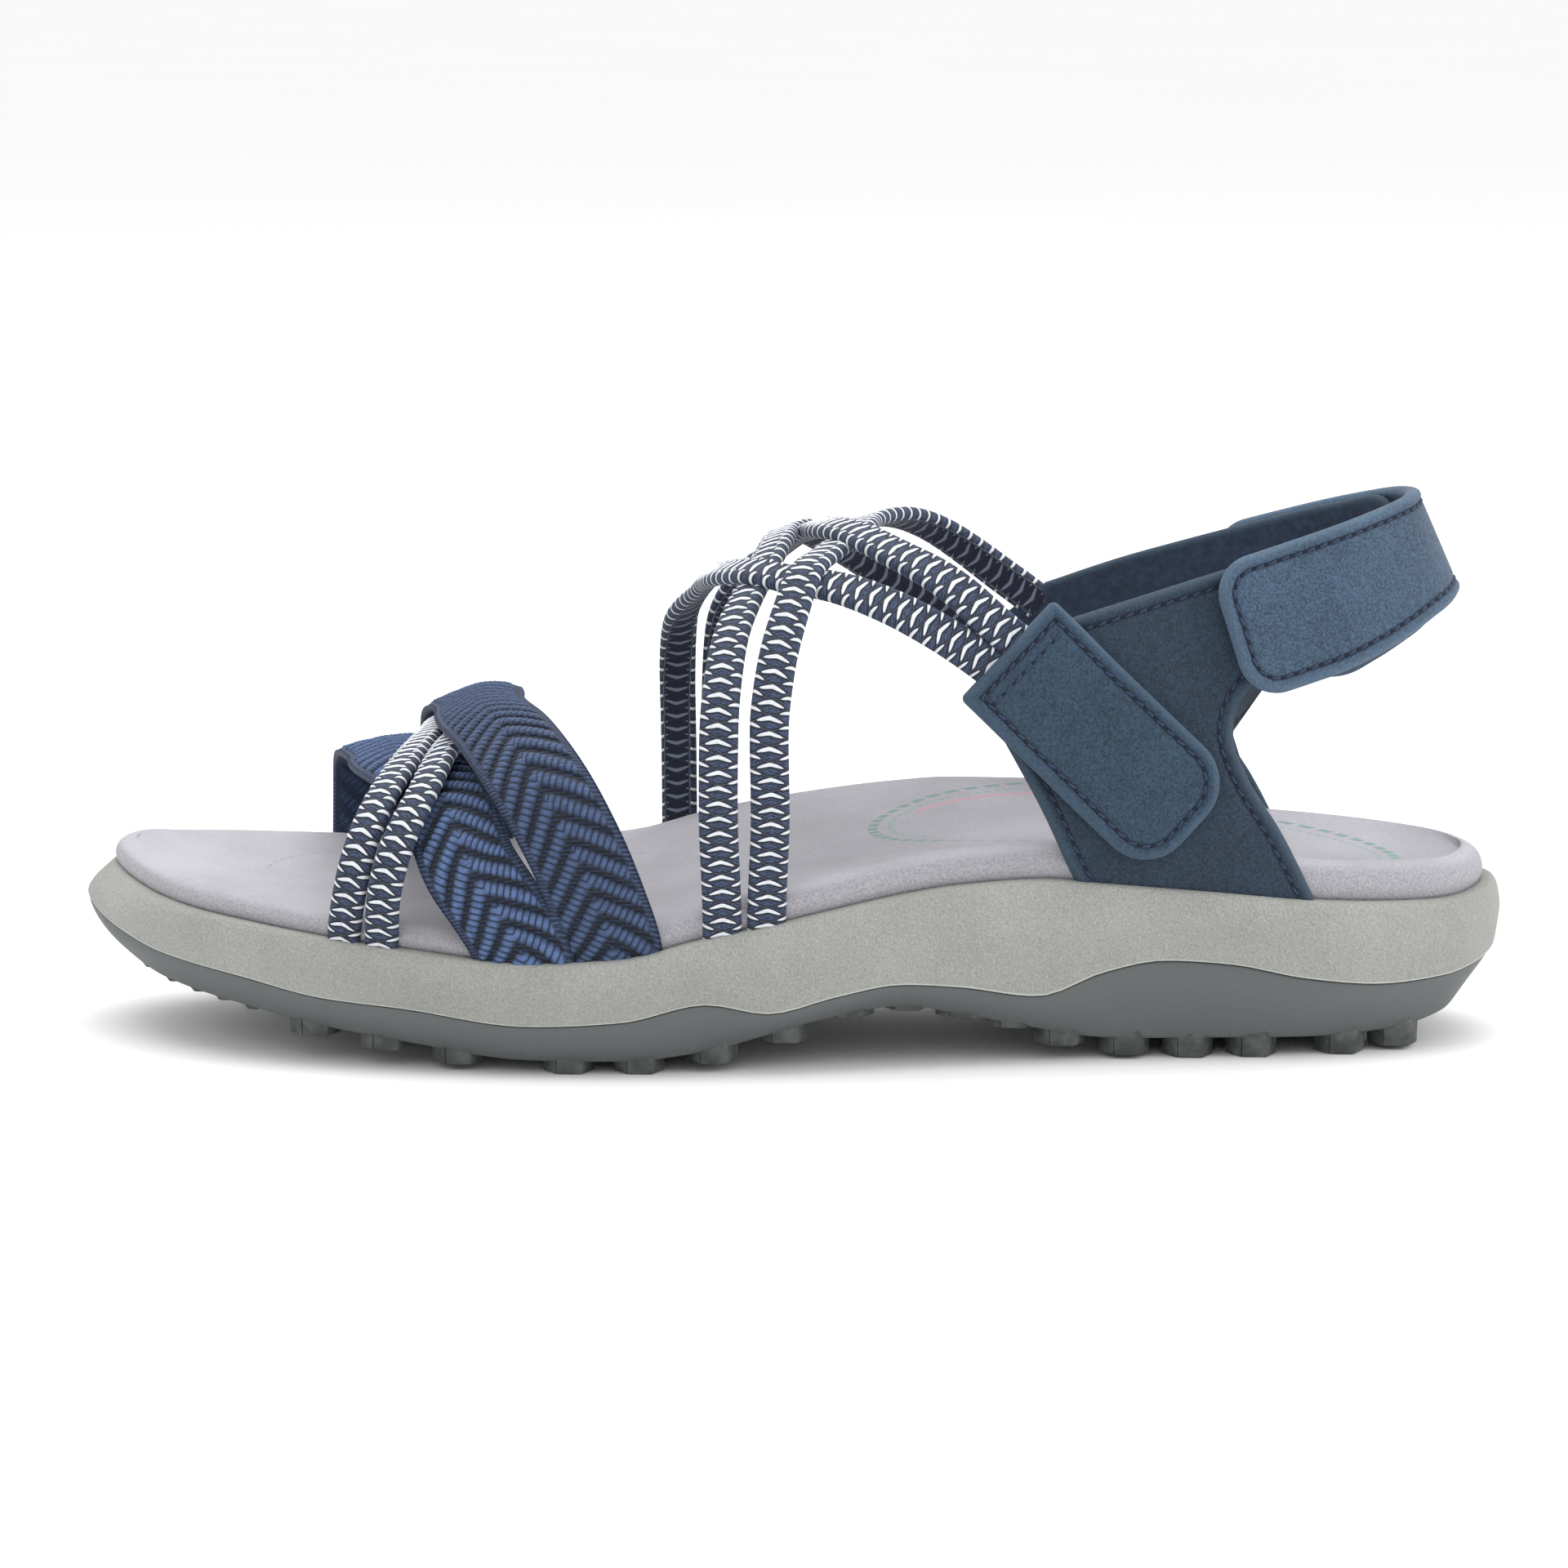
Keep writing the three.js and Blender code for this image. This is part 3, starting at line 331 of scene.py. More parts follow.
def close_up(piece, merge=0.004):
    """Merges seams and poles, fills open ends and turns every face outwards."""
    only(piece)
    bpy.ops.object.mode_set(mode="EDIT")
    bpy.ops.mesh.select_all(action="SELECT")
    bpy.ops.mesh.remove_doubles(threshold=merge * MM)
    bpy.ops.mesh.fill_holes(sides=0)
    bpy.ops.mesh.dissolve_degenerate(threshold=merge * MM)
    bpy.ops.mesh.select_all(action="SELECT")
    bpy.ops.mesh.normals_make_consistent(inside=False)
    bpy.ops.object.mode_set(mode="OBJECT")
    bpy.ops.object.shade_smooth()
    return piece


def finish_piece(piece, nodes, material):
    """Gives the piece its finish, hides the model's parts that it stands for, and prints its size.
    """
    piece.data.materials.clear()
    piece.data.materials.append(material)
    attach(piece, "root")
    if nodes:
        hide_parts(*nodes)
    print(piece.name, len(piece.data.polygons), "faces")


def unit(v):
    return v / np.maximum(np.linalg.norm(v, axis=-1, keepdims=True), 1e-9)


print("tools ready")

# %% [markdown]
# ## Camera
# The photograph looks straight at the outer side from a little above. The long lens keeps the far
# side nearly the size of the near one.

# %% Camera
CAMERA_TARGET = np.array([-1.2, 3.0, 44.9])
CAMERA_RISE = math.radians(9.2)
CAMERA_AWAY = 1000.0
SENSOR = 36
FOCAL_PIXELS, FRAME_PIXELS = 6680, 1920
bpy.ops.object.camera_add()
camera = bpy.context.object
camera.name = "photo_camera"
away = np.array([0, -math.cos(CAMERA_RISE), math.sin(CAMERA_RISE)]) * CAMERA_AWAY
camera.location = (CAMERA_TARGET + away) * MM
camera.rotation_euler = (math.pi / 2 - CAMERA_RISE, 0, 0)
camera.data.sensor_width = SENSOR
camera.data.lens = FOCAL_PIXELS * SENSOR / FRAME_PIXELS
camera.data.clip_start = 0.01
bpy.context.scene.camera = camera
print("lens", round(camera.data.lens, 1), "mm")


# %% [markdown]
# ## Finishes
# Every finish is a small tree of nodes. Patterns are sums on the place in the piece or on its UV
# map. A Term stands for a node's output, so that a sum such as 2 * a + b can be written as it is
# read.


# %% Tools for materials
class Term:
    """An output of a node. A sum written with it adds nodes to its finish."""

    def __init__(self, finish, socket):
        self.finish, self.socket = finish, socket

    def __add__(self, other):
        return self.finish.sum("ADD", self, other)

    def __mul__(self, other):
        return self.finish.sum("MULTIPLY", self, other)

    def __sub__(self, other):
        return self.finish.sum("SUBTRACT", self, other)

    def __rsub__(self, other):
        return self.finish.sum("SUBTRACT", other, self)

    def __truediv__(self, other):
        return self.finish.sum("DIVIDE", self, other)

    def __abs__(self):
        return self.finish.sum("ABSOLUTE", self)


class Finish:
    """A material, with helpers that add one node each and return its output."""

    def __init__(self, name, roughness, **sockets):
        self.material = bpy.data.materials.new(name)
        self.material.use_nodes = True
        self.tree = self.material.node_tree
        self.surface = self.tree.nodes["Principled BSDF"]
        self.set("Roughness", roughness)
        for key, value in sockets.items():
            self.set(key.replace("_", " "), value)
        self.spot = self.node("ShaderNodeTexCoord", "Object")

    def feed(self, socket, value):
        if isinstance(value, Term):
            self.tree.links.new(value.socket, socket)
        else:
            socket.default_value = value

    def set(self, key, value):
        self.feed(self.surface.inputs[key], value)

    def node(self, kind, output, inputs=(), **settings):
        """Adds a node with its settings and inputs, and returns one output."""
        made = self.tree.nodes.new(kind)
        for key, value in settings.items():
            setattr(made, key, value)
        for key, value in dict(inputs).items():
            self.feed(made.inputs[key], value)
        return Term(self, made.outputs[output])

    def sum(self, operation, *values):
        return self.node("ShaderNodeMath", 0, enumerate(values), operation=operation)

    def axes(self, vector):
        first = self.node("ShaderNodeSeparateXYZ", 0, {0: vector})
        return [Term(self, socket) for socket in first.socket.node.outputs]

    def strap_map(self):
        """Place along and across a strap, and 1 on its inner face, from its UV map."""
        u, v, _ = self.axes(self.node("ShaderNodeTexCoord", "UV"))
        back = self.sum("GREATER_THAN", v, INNER_FACE / 2)
        return u, v - back * INNER_FACE, back

    def attribute(self, name):
        return self.node("ShaderNodeAttribute", "Fac", attribute_name=name)

    def grain(self, scale, detail=3.0, roughness=0.55):
        inputs = {"Vector": self.spot, "Scale": scale, "Detail": detail, "Roughness": roughness}
        return self.node("ShaderNodeTexNoise", "Fac", inputs)

    def ramp(self, value, low, high, start=0.0, end=1.0):
        inputs = {"Value": value, "From Min": low, "From Max": high, "To Min": start, "To Max": end}
        return self.node("ShaderNodeMapRange", 0, inputs, interpolation_type="SMOOTHSTEP")

    def mix(self, share, a, b):
        """Two colours mixed. Each is a Term or a screen colour such as 34507a."""
        a, b = (shade(each) if isinstance(each, str) else each for each in (a, b))
        return self.node("ShaderNodeMix", 2, {0: share, 6: a, 7: b}, data_type="RGBA")

    def relief(self, height, depth, strength=1.0):
        """Bump of a height from 0 to 1, depth in millimetres."""
        inputs = {"Distance": depth * MM, "Strength": strength, "Height": height}
        self.set("Normal", self.node("ShaderNodeBump", 0, inputs))


def shade(text):
    """A screen colour as light values."""
    parts = [int(text[k:k + 2], 16) / 255 for k in (0, 2, 4)]
    return (*(c / 12.92 if c < 0.04045 else ((c + 0.055) / 1.055) ** 2.4 for c in parts), 1)


def speckled(name, roughness, scale, dark, light):
    """A plain finish: one fine grain between two colours."""
    plain = Finish(name, roughness)
    plain.set("Base Color", plain.mix(plain.grain(scale, 2), dark, light))
    return plain.material


print("finish tools ready")


# %% [markdown]
# ## Floor and light
# The photograph has a white background with a faint soft shadow. A pale floor, a white room and
# three broad lights give that: most light comes from above, and a little more from the heel's side.
# The heel strap is the brightest leather partly from that side light and partly because its finish
# is painted lighter.

# %% Floor and light
bpy.context.scene.view_settings.view_transform = "Standard"
paper = Finish("pale_floor", 0.7)
paper.set("Base Color", paper.mix(paper.grain(3), (0.93, 0.93, 0.93, 1), (0.96, 0.96, 0.96, 1)))
clear_selection()
bpy.ops.mesh.primitive_plane_add(size=30, location=(0, 0, 0))
floor = bpy.context.object
floor.name = "floor"
floor.data.materials.append(paper.material)


def soft_light(name, place, aim, size, power):
    clear_selection()
    bpy.ops.object.light_add(type="AREA", location=place)
    light = bpy.context.object
    light.name = name
    light.data.shape = "RECTANGLE"
    light.data.size, light.data.size_y = size
    light.data.energy = power
    ahead = Vector(aim) - Vector(place)
    light.rotation_euler = ahead.to_track_quat("-Z", "Y").to_euler()


soft_light("light_above", (-0.1, 0.2, 1.4), (0, 0, 0), (1.6, 1.4), 15)
soft_light("light_front", (-0.5, -1.5, 1.0), (0, 0, 0.03), (1.2, 1.0), 0.8)
soft_light("light_side", (1.5, -0.35, 0.8), (0, 0, 0.03), (0.8, 0.8), 9)
world = bpy.context.scene.world or bpy.data.worlds.new("studio")
bpy.context.scene.world = world
world.use_nodes = True
room = world.node_tree.nodes["Background"].inputs
room["Color"].default_value, room["Strength"].default_value = (1, 1, 1, 1), 1.0
print("three soft lights and a white room")


# %% [markdown]
# ## Finishes of the sole
# The rubber is smooth with soft clouds, and its lugs are painted darker, as painted shade under the
# sole. The foam has the fine pebbles that its mould gives it, and a painted highlight along its
# lower lip. The footbed is suede, smooth on top and crinkled where it is rolled over the edge, and
# the roll is painted darker as painted shade. Two dashed loops and one thin line are printed round
# its heel. They are ellipses in the finish, because print has no thickness that a mesh could show.

# %% Sole finishes
rubber = Finish("grey_rubber", 0.55)
cloud, speck = rubber.grain(60, 4), rubber.grain(2500, 2)
rubber.set("Base Color", rubber.mix(speck * 0.35 + cloud * 0.65, "4a4e4f", "626666"))
rubber.set("Roughness", rubber.ramp(cloud, 0.3, 0.7, 0.48, 0.66))
rubber.relief(speck + cloud * 2, 0.05)

# Painted shade: the lugs get a darker rubber than the wall, for the shade under the sole.
tread = Finish("tread_rubber_painted_shade", 0.65)
tread.set("Base Color", tread.mix(tread.ramp(tread.grain(300, 4), 0.35, 0.7), "3a3e3d", "565a58"))
tread.relief(tread.grain(2500, 2), 0.05)

foam = Finish("sage_foam", 0.75)
pebble = foam.node("ShaderNodeTexVoronoi", "Distance", {"Vector": foam.spot, "Scale": 1900})
tone = foam.grain(2600, 3, 0.7) * 0.7 + foam.grain(45, 4) * 0.3
body = foam.mix(foam.ramp(tone, 0.3, 0.7), "838480", "a1a29d")
_, ring_number, _ = foam.axes(foam.node("ShaderNodeTexCoord", "UV"))
# Painted highlight: the lowest rings, the lip over the rubber, are painted paler.
foam.set("Base Color", foam.mix(foam.ramp(ring_number, 2.2, 1.4), body, "bdc0ba"))
foam.relief(pebble + foam.grain(1400, 3) * 0.8, 0.2, 0.85)

suede = Finish("lilac_suede", 0.9, Sheen_Weight=0.1)
x, y, _ = suede.axes(suede.spot)
rolled = suede.attribute("rolled")
fine, crinkle = suede.grain(1800, 3, 0.7), suede.grain(2400, 3, 0.5)
tone = fine * 0.5 + suede.grain(50, 4) * 0.5
base = suede.mix(suede.ramp(tone, 0.35, 0.65), "9e9da3", "b0aeb5")
# The rolled edge is crinkled suede, and its colours are also darker than the top's: painted shade on
# the sideways faces.
side = suede.mix(suede.ramp(crinkle, 0.3, 0.7), "8e8d93", "a6a4aa")
ground = suede.mix(rolled, base, side)


def dashes(centre, radii, width, count, filled, start=-1.0, end=1.0):
    """A dashed ellipse printed on the footbed: 1 on its dashes and 0 beside them."""
    across = (x - centre[0] * MM) / (radii[0] * MM)
    along = (y - centre[1] * MM) / (radii[1] * MM)
    away = suede.sum("SQRT", across * across + along * along)
    turn = suede.sum("ARCTAN2", along, across) / (2 * math.pi)
    beside = abs(away - 1.0) * (sum(radii) / 2)
    line = suede.ramp(beside, width / 2 + 0.15, width / 2 - 0.1)
    dash = suede.ramp(suede.sum("PINGPONG", turn * count, 0.5), filled / 2 + 0.04, filled / 2 - 0.04)
    inside = suede.sum("GREATER_THAN", turn, start) * suede.sum("LESS_THAN", turn, end)
    return line * dash * inside * (1.0 - rolled)


loop_middle = (63, 1)
for mask, colour in (
    (dashes(loop_middle, (48, 24), 1.3, 62, 0.66), "76968f"),
    (dashes(loop_middle, (45, 21.2), 0.7, 120, 0.5), "849f9a"),
    (dashes(loop_middle, (42.6, 18.9), 1.0, 1, 1.2, 0.29, 0.44), "c796a0"),
    (dashes((-58, 3), (38, 27), 0.5, 60, 0.6, 0.1, 0.5), "96949b"),
):
    ground = suede.mix(mask * 0.95, ground, colour)
suede.set("Base Color", ground)
suede.relief(fine * 0.35 + crinkle * rolled * 1.2, 0.3, 0.8)
print("sole finishes ready")

# %% [markdown]
# ## Midsole
# The midsole is one block of foam whose side swells out below a thin top edge. It is a wall of
# rings: the grid is wrapped round the outline, and each row of it is one ring, from the seam with
# the rubber up to the footbed. The footbed and the rubber hide its top and bottom, so they close
# flat.


# %% Midsole
def top_edge(at):
    return TOP_INSET + TOE_SLOPE * (1 - smooth(at, 0, 0.1))


def ring_wall(name, rings):
    """A grid wrapped round the outline, one row for each ring."""
    points = np.array([np.vstack([r, r[:1]]) for r in rings])
    uv = np.stack(np.meshgrid(run_along(points[0]), np.arange(len(rings), dtype=float)), axis=2)
    return grid_piece(name, points, uv)


def lid(name, edge, columns, height=None):
    """A sheet across a ring from side to side. Its height comes from height(x, y, share across)."""
    share = (1 - np.cos(np.pi * np.arange(columns + 1) / columns)) / 2
    outer = edge[: HALF_STEPS + 1]
    inner = np.vstack([edge[:1], edge[HALF_STEPS:][::-1]])
    points = spread(outer, inner, share)
    if height:
        points[..., 2] = height(points[..., 0], points[..., 1], share[None, :])
        start, end = outer[:, 2] - points[:, 0, 2], inner[:, 2] - points[:, -1, 2]
        points[..., 2] += start[:, None] + (end - start)[:, None] * share[None, :]
    return grid_piece(name, points)


def ring_block(name, rings, top, floor, height=None):
    """A wall of rings, with a lid on the last ring and one under the first."""
    wall = ring_wall(name, rings)
    lids = [lid("top", rings[-1], top, height), lid("floor", rings[0], floor)]
    return close_up(join(name, [wall] + lids))


MIDSOLE_PROFILE = track([0, 0.04, 0.25, 0.55, 0.85, 0.96, 1], [0.95, 0.8, 0.4, 0, 0.35, 0.72, 1])
MIDSOLE_LEVELS = np.concatenate([[0, 0.02, 0.05], np.linspace(0.1, 0.9, 17), [0.95, 0.98, 1]])
HIDDEN_INSET = SEAM_INSET + 3


def midsole_ring(share):
    def inset(at):
        profile = MIDSOLE_PROFILE(share)
        side = profile if share <= 0.55 else profile * top_edge(at)
        return lerp(top_edge(at) * share ** 1.6, side, smooth(at, 0.01, 0.09))

    return ring(inset, lambda x, y: lerp(seam_line(x) + GAP / 2, top_line(x, y), share))


midsole_rings = [ring(HIDDEN_INSET, lambda x, y: seam_line(x) + GAP / 2)]
midsole_rings += [midsole_ring(share) for share in MIDSOLE_LEVELS]
midsole_rings += [ring(lambda at: top_edge(at) + 0.7, lambda x, y: top_line(x, y) + 0.2),
                  ring(lambda at: top_edge(at) + 5, lambda x, y: top_line(x, y) + 0.2)]
midsole = ring_block("midsole_foam", midsole_rings, 8, 8)
finish_piece(midsole, ["midsole"], foam.material)


# %% [markdown]
# ## Outsole
# The outsole is rubber with lugs moulded under it. Its wall is made of rings like the foam's, and
# leans in towards the tread. A lug is a hexagon with a slit in the shape of a Y: three bevelled
# pads, modelled once from cubes and copied in rows. Under the arch they are low, and under the toe
# narrow too.

# %% Outsole
def seam_inset(at):
    """The rubber is flush with the foam at the toe, and set in along the sides."""
    return lerp(0.2, SEAM_INSET, smooth(at, 0, 0.08))


def outsole_ring(share):
    """From the tread up to the seam."""
    level = lambda x, y: lerp(base_line(x), seam_line(x) - GAP / 2, share)
    return ring(lambda at: lerp(seam_inset(at), TREAD_INSET, (1 - share) ** 1.8), level)


OUTSOLE_LEVELS = np.concatenate([[0, 0.03], np.linspace(0.08, 0.92, 12), [0.97, 1]])
outsole_rings = [outsole_ring(share) for share in OUTSOLE_LEVELS]
outsole_rings += [ring(HIDDEN_INSET, lambda x, y: seam_line(x) - GAP / 2)]
outsole = ring_block("outsole_rubber", outsole_rings, 6, 12)
finish_piece(outsole, ["outsole"], rubber.material)

BIG_LUGS = (-85, -72, -59, -39.3, -26.8, -13.8, -1.2, 48.4, 60, 71.5, 83, 99, 109)
ARCH_LUGS = (10.5, 20.5, 30.5, 39.5)
TOE_RIBS = (-117, -112, -107, -102, -96.5)
ARCH_LUG_DEPTH, TOE_RIB_DEPTH = 0.9, 0.6
TOE_RIB_SCALE = 0.42
LUG_WIDTH = 10.0
LUG_PITCH = 14
LUG_SLIT = 0.6
LUG_TAPER = 0.93
LUG_ROOT = 1.5
LUG_ROUND = 0.35
LUG_CREASE = math.radians(40)


def lug_places():
    room = TREAD_INSET + LUG_WIDTH / 2 - 1.4
    for x in BIG_LUGS + ARCH_LUGS + TOE_RIBS:
        low, high = edge_y(x, False, room), edge_y(x, True, room)
        across = max(1, int((high - low) // LUG_PITCH) + 1)
        for k in range(across):
            yield x, (low + high) / 2 if across == 1 else lerp(low, high, k / (across - 1))


def make_lug():
    """Three pads in a hexagon, with a slit in the shape of a Y between them."""
    radius, gap = LUG_WIDTH / 2, LUG_SLIT / 2
    order = {(False, False): 0, (True, False): 1, (True, True): 2, (False, True): 3}
    pads = []
    for turn in range(3):
        plan = []
        for degrees, reach in ((0, gap * 2), (-60, radius - gap), (0, radius), (60, radius - gap)):
            angle = math.radians(120 * turn + 60 + degrees)
            plan.append((reach * math.cos(angle), reach * math.sin(angle)))
        clear_selection()
        bpy.ops.mesh.primitive_cube_add(size=1 * MM)
        pad = bpy.context.object
        for v in pad.data.vertices:
            x, y = plan[order[v.co.x > 0, v.co.y > 0]]
            foot = LUG_TAPER if v.co.z < 0 else 1
            v.co.x, v.co.y = x * foot * MM, y * foot * MM
        bevel = pad.modifiers.new("round", "BEVEL")
        bevel.width, bevel.segments = LUG_ROUND * MM, 2
        bpy.ops.object.modifier_apply(modifier="round")
        pads.append(pad)
    return join("lug", pads)


pattern_lug = make_lug()
corners = corners_of(pattern_lug)
lugs = []
for x, y in lug_places():
    head = float(base_line(x))
    foot = float(lug_line(x))
    if x not in BIG_LUGS:
        foot = head - (TOE_RIB_DEPTH if x in TOE_RIBS else ARCH_LUG_DEPTH)
    tall = head + LUG_ROOT - foot
    placed = corners * (TOE_RIB_SCALE if x in TOE_RIBS else 1, 1, 1)
    placed[:, 2] += np.where(corners[:, 2] < 0, 0.5, tall - 0.5)
    lugs.append(copy_of(pattern_lug, placed + (x, y, foot)))
bpy.data.objects.remove(pattern_lug)
lug_field = only(join("outsole_lugs", lugs))
bpy.ops.object.shade_smooth_by_angle(angle=LUG_CREASE)
finish_piece(lug_field, [], tread.material)


# %% [markdown]
# ## Footbed
# The footbed is a cupped board whose suede is rolled over the edge. The roll is a quarter circle of
# rings. The cup is one sheet from side to side, deepest in the middle and at the heel, and it
# starts on the last ring of the roll, so the two meet without a step.

# %% Footbed
def bed_inset(at):
    """How far the footbed's side stands inside the outline. At the toe it nears the foam's edge."""
    return top_edge(at) + lerp(0.4, EDGE_SET, smooth(at, 0, 0.12))


def edge_level(share):
    """A height on the footbed's edge, from the foam at 0 to the rim at 1."""
    return lambda x, y: lerp(top_line(x, y), rim_line(x, y), share)


def bed_ring(turn):
    """One ring of the rolled edge, from its foot at 0 to its top at 1."""
    angle = turn * math.pi / 2
    out = FOOTBED_ROLL * (1 - math.cos(angle))
    return ring(lambda at: bed_inset(at) + out, edge_level(lerp(0.3, 1, math.sin(angle))))


def crown(x, y, share):
    at = share_at(x)
    ends = smooth(at, 0, 0.15) * (1 - smooth(at, 0.93, 1))
    return rim_line(x, y) - CUP_DEPTH * BED_CUP(at) * ends * 4 * share * (1 - share)


bed_rings = [ring(lambda at: bed_inset(at) + 0.5, lambda x, y: top_line(x, y) + 0.1),
             ring(lambda at: bed_inset(at) + 0.15, edge_level(0.15))]
bed_rings += [bed_ring(t) for t in np.linspace(0, 1, 12)]
footbed = ring_block("footbed", bed_rings, 48, 6, crown)
normals = np.empty(len(footbed.data.vertices) * 3, np.float32)
footbed.data.vertices.foreach_get("normal", normals)
mark(footbed, "rolled", 1 - smooth(normals[2::3], 0.55, 0.9))
finish_piece(footbed, ["insole"], suede.material)

# %% [markdown]
# ## The foot's shape
# Straps lie on a foot, so a smooth form of one is described first: at each place along the shoe, a
# ridge and two sides that swell a little past the sole. A strap is a table of places round that
# form, from the outer side over the ridge to the inner side, with its lift where it passes over
# another.

# %% The form under the straps
RIDGE = np.array([
    (0.1, 0.44, 0.16), (0.192, 0.55, 0.14), (0.25, 0.588, 0.12), (0.308, 0.652, 0.1),
    (0.345, 0.705, 0.095), (0.385, 0.775, 0.09), (0.431, 0.868, 0.08), (0.462, 0.935, 0.07),
    (0.5, 0.982, 0.06), (0.554, 1.03, 0.05), (0.615, 1.065, 0.04), (0.75, 1.08, 0.03),
])
RIDGE_HEIGHT, RIDGE_ACROSS = (track(RIDGE[:, 0], RIDGE[:, k]) for k in (1, 2))


def form_point(at, turn):
    """A point of the form: turn 0 is the outer base line, 0.5 the ridge, 1 the inner base line."""
    at, turn = np.asarray(at, float), np.asarray(turn, float)
    x = place_at(at)
    inner = turn > 0.5
    angle = np.where(inner, 1 - turn, turn) * np.pi
    inset = SEAT_INSET + CORD_THICKNESS
    foot = np.where(inner, edge_y(x, True, inset), edge_y(x, False, inset))
    top = RIDGE_ACROSS(at) * BALL_WIDTH
    outwards = np.sign(foot - top)
    breadth = np.maximum(0, np.cos(angle)) ** SIDE_FULLNESS
    y = top + (foot - top) * breadth + outwards * BELLY * np.sin(2 * angle)
    low = top_line(x, foot) - SEAT_DROP
    rise = np.maximum(0, np.sin(angle)) ** SIDE_FULLNESS
    return np.stack([x, y, lerp(low, INSTEP_HEIGHT * RIDGE_HEIGHT(at), rise)], axis=-1)


def form_out(at, turn):
    """Outward direction of the form."""
    step = 0.005
    held = np.clip(turn, 2 * step, 1 - 2 * step)
    along = form_point(at + step, held) - form_point(at - step, held)
    over = form_point(at, held + step) - form_point(at, held - step)
    return unit(np.cross(along, over))


TUCK = 4


def eased(line, width):
    """A line with its small kinks smoothed out, and its ends held."""
    reach = int(width * 3)
    weights = np.exp(-0.5 * (np.arange(-reach, reach + 1) / width) ** 2)
    before, after = 2 * line[0] - line[reach:0:-1], 2 * line[-1] - line[-2:-reach - 2:-1]
    long = np.vstack([before, line, after])
    weights /= weights.sum()
    return np.stack([np.convolve(each, weights, "valid") for each in long.T], axis=1)


def strap_line(table, layer, spacing):
    """Evenly spaced points of a strap's inner face, its outward and its sideways directions."""
    rows = np.array(table)
    place, lift = track(rows[:, 0], rows[:, 1]), track(rows[:, 0], rows[:, 2])
    turns = np.linspace(rows[0, 0], rows[-1, 0], 400)
    line = form_point(place(turns), turns)
    run = run_along(line)
    count = int(run[-1] / spacing)
    even = np.interp(np.linspace(0, run[-1], count + 1), run, turns)
    out = form_out(place(even), even)
    points = form_point(place(even), even) + out * (layer * lift(even))[:, None]

    def root(first, level):
        depths = np.linspace(TUCK, spacing, int(TUCK / spacing))
        flat = unit(level * (1, 1, 0))
        return first - np.outer(depths, (0, 0, 1)), np.repeat(flat[None], len(depths), axis=0)

    if rows[0, 0] == 0:
        p, o = root(points[0], out[0])
        points, out = np.vstack([p, points]), np.vstack([o, out])
    if rows[-1, 0] == 1:
        p, o = root(points[-1], out[-1])
        points, out = np.vstack([points, p[::-1]]), np.vstack([out, o[::-1]])
    out, points = unit(eased(out, 4 / spacing)), eased(points, 1.6 / spacing)
    ahead = np.gradient(points, axis=0)
    return points, out, unit(np.cross(ahead, out))


REAR_WEBBING = [
    (0, 0.3815, 0), (0.028, 0.3715, 0.2), (0.096, 0.3565, 0.7), (0.178, 0.341, 1.15),
    (0.256, 0.3264, 1.4), (0.352, 0.31, 1.4), (0.497, 0.2865, 1.4), (0.62, 0.274, 1.4),
    (0.76, 0.2655, 1.4), (0.87, 0.2635, 1.3), (0.95, 0.264, 0.6), (1, 0.265, 0),
]
FRONT_WEBBING = [
    (0, 0.3225, 0.35), (0.035, 0.306, 0.35), (0.107, 0.283, 0), (0.17, 0.2745, -0.5),
    (0.243, 0.2665, -0.8), (0.39, 0.2459, -0.8), (0.527, 0.2126, -0.8), (0.65, 0.203, -0.4),
    (0.8, 0.199, 0), (1, 0.198, 0),
]
FRONT_TOE_CORD = [
    (0, 0.197, 0), (0.153, 0.2105, 0.3), (0.286, 0.2257, 0.5), (0.4, 0.2389, 0.5),
    (0.498, 0.2515, 0.4), (0.56, 0.26, 0.2), (0.653, 0.2655, 0), (0.751, 0.2775, 0),
    (0.842, 0.2965, 0), (0.93, 0.313, 0), (1, 0.326, 0),
]
REAR_TOE_CORD = [
    (0, 0.2235, 0), (0.06, 0.227, 0.5), (0.149, 0.2365, 0.65), (0.268, 0.2535, 0.6),
    (0.415, 0.2668, 0.4), (0.5, 0.2785, 0.1), (0.58, 0.288, 0), (0.653, 0.2935, 0),
    (0.751, 0.3045, 0), (0.842, 0.3235, 0), (0.93, 0.3395, 0), (1, 0.3525, 0),
]
INSTEP_FRONT = [
    (0, 0.4531, 0), (0.067, 0.4506, 0), (0.154, 0.4516, 0), (0.293, 0.4602, 0), (0.367, 0.4705, 0),
    (0.41, 0.4775, 0), (0.445, 0.486, 0.5), (0.5, 0.497, 1), (0.575, 0.512, 0.8), (0.65, 0.53, 0.1),
    (0.743, 0.56, 0), (0.84, 0.62, 0), (0.89, 0.66, 0),
]
INSTEP_REAR = [
    (0, 0.4828, 0), (0.053, 0.4854, 0), (0.131, 0.4849, 0), (0.218, 0.4902, 0), (0.301, 0.5019, 0.4),
    (0.355, 0.513, 1), (0.411, 0.5268, 0.3), (0.46, 0.54, 0), (0.55, 0.5655, 0), (0.67, 0.602, 0),
    (0.77, 0.6447, -0.1), (0.83, 0.68, -0.3),
]
TAB_UPPER = [
    (0.165, 0.668, -0.85), (0.19, 0.6506, -0.65), (0.259, 0.6167, 0.1), (0.342, 0.5822, 0),
    (0.418, 0.5532, 0.6), (0.47, 0.5345, 1), (0.53, 0.514, 0.5), (0.6, 0.489, 0), (0.68, 0.467, 0),
    (0.767, 0.452, 0), (0.886, 0.4471, 0), (1, 0.446, 0),
]
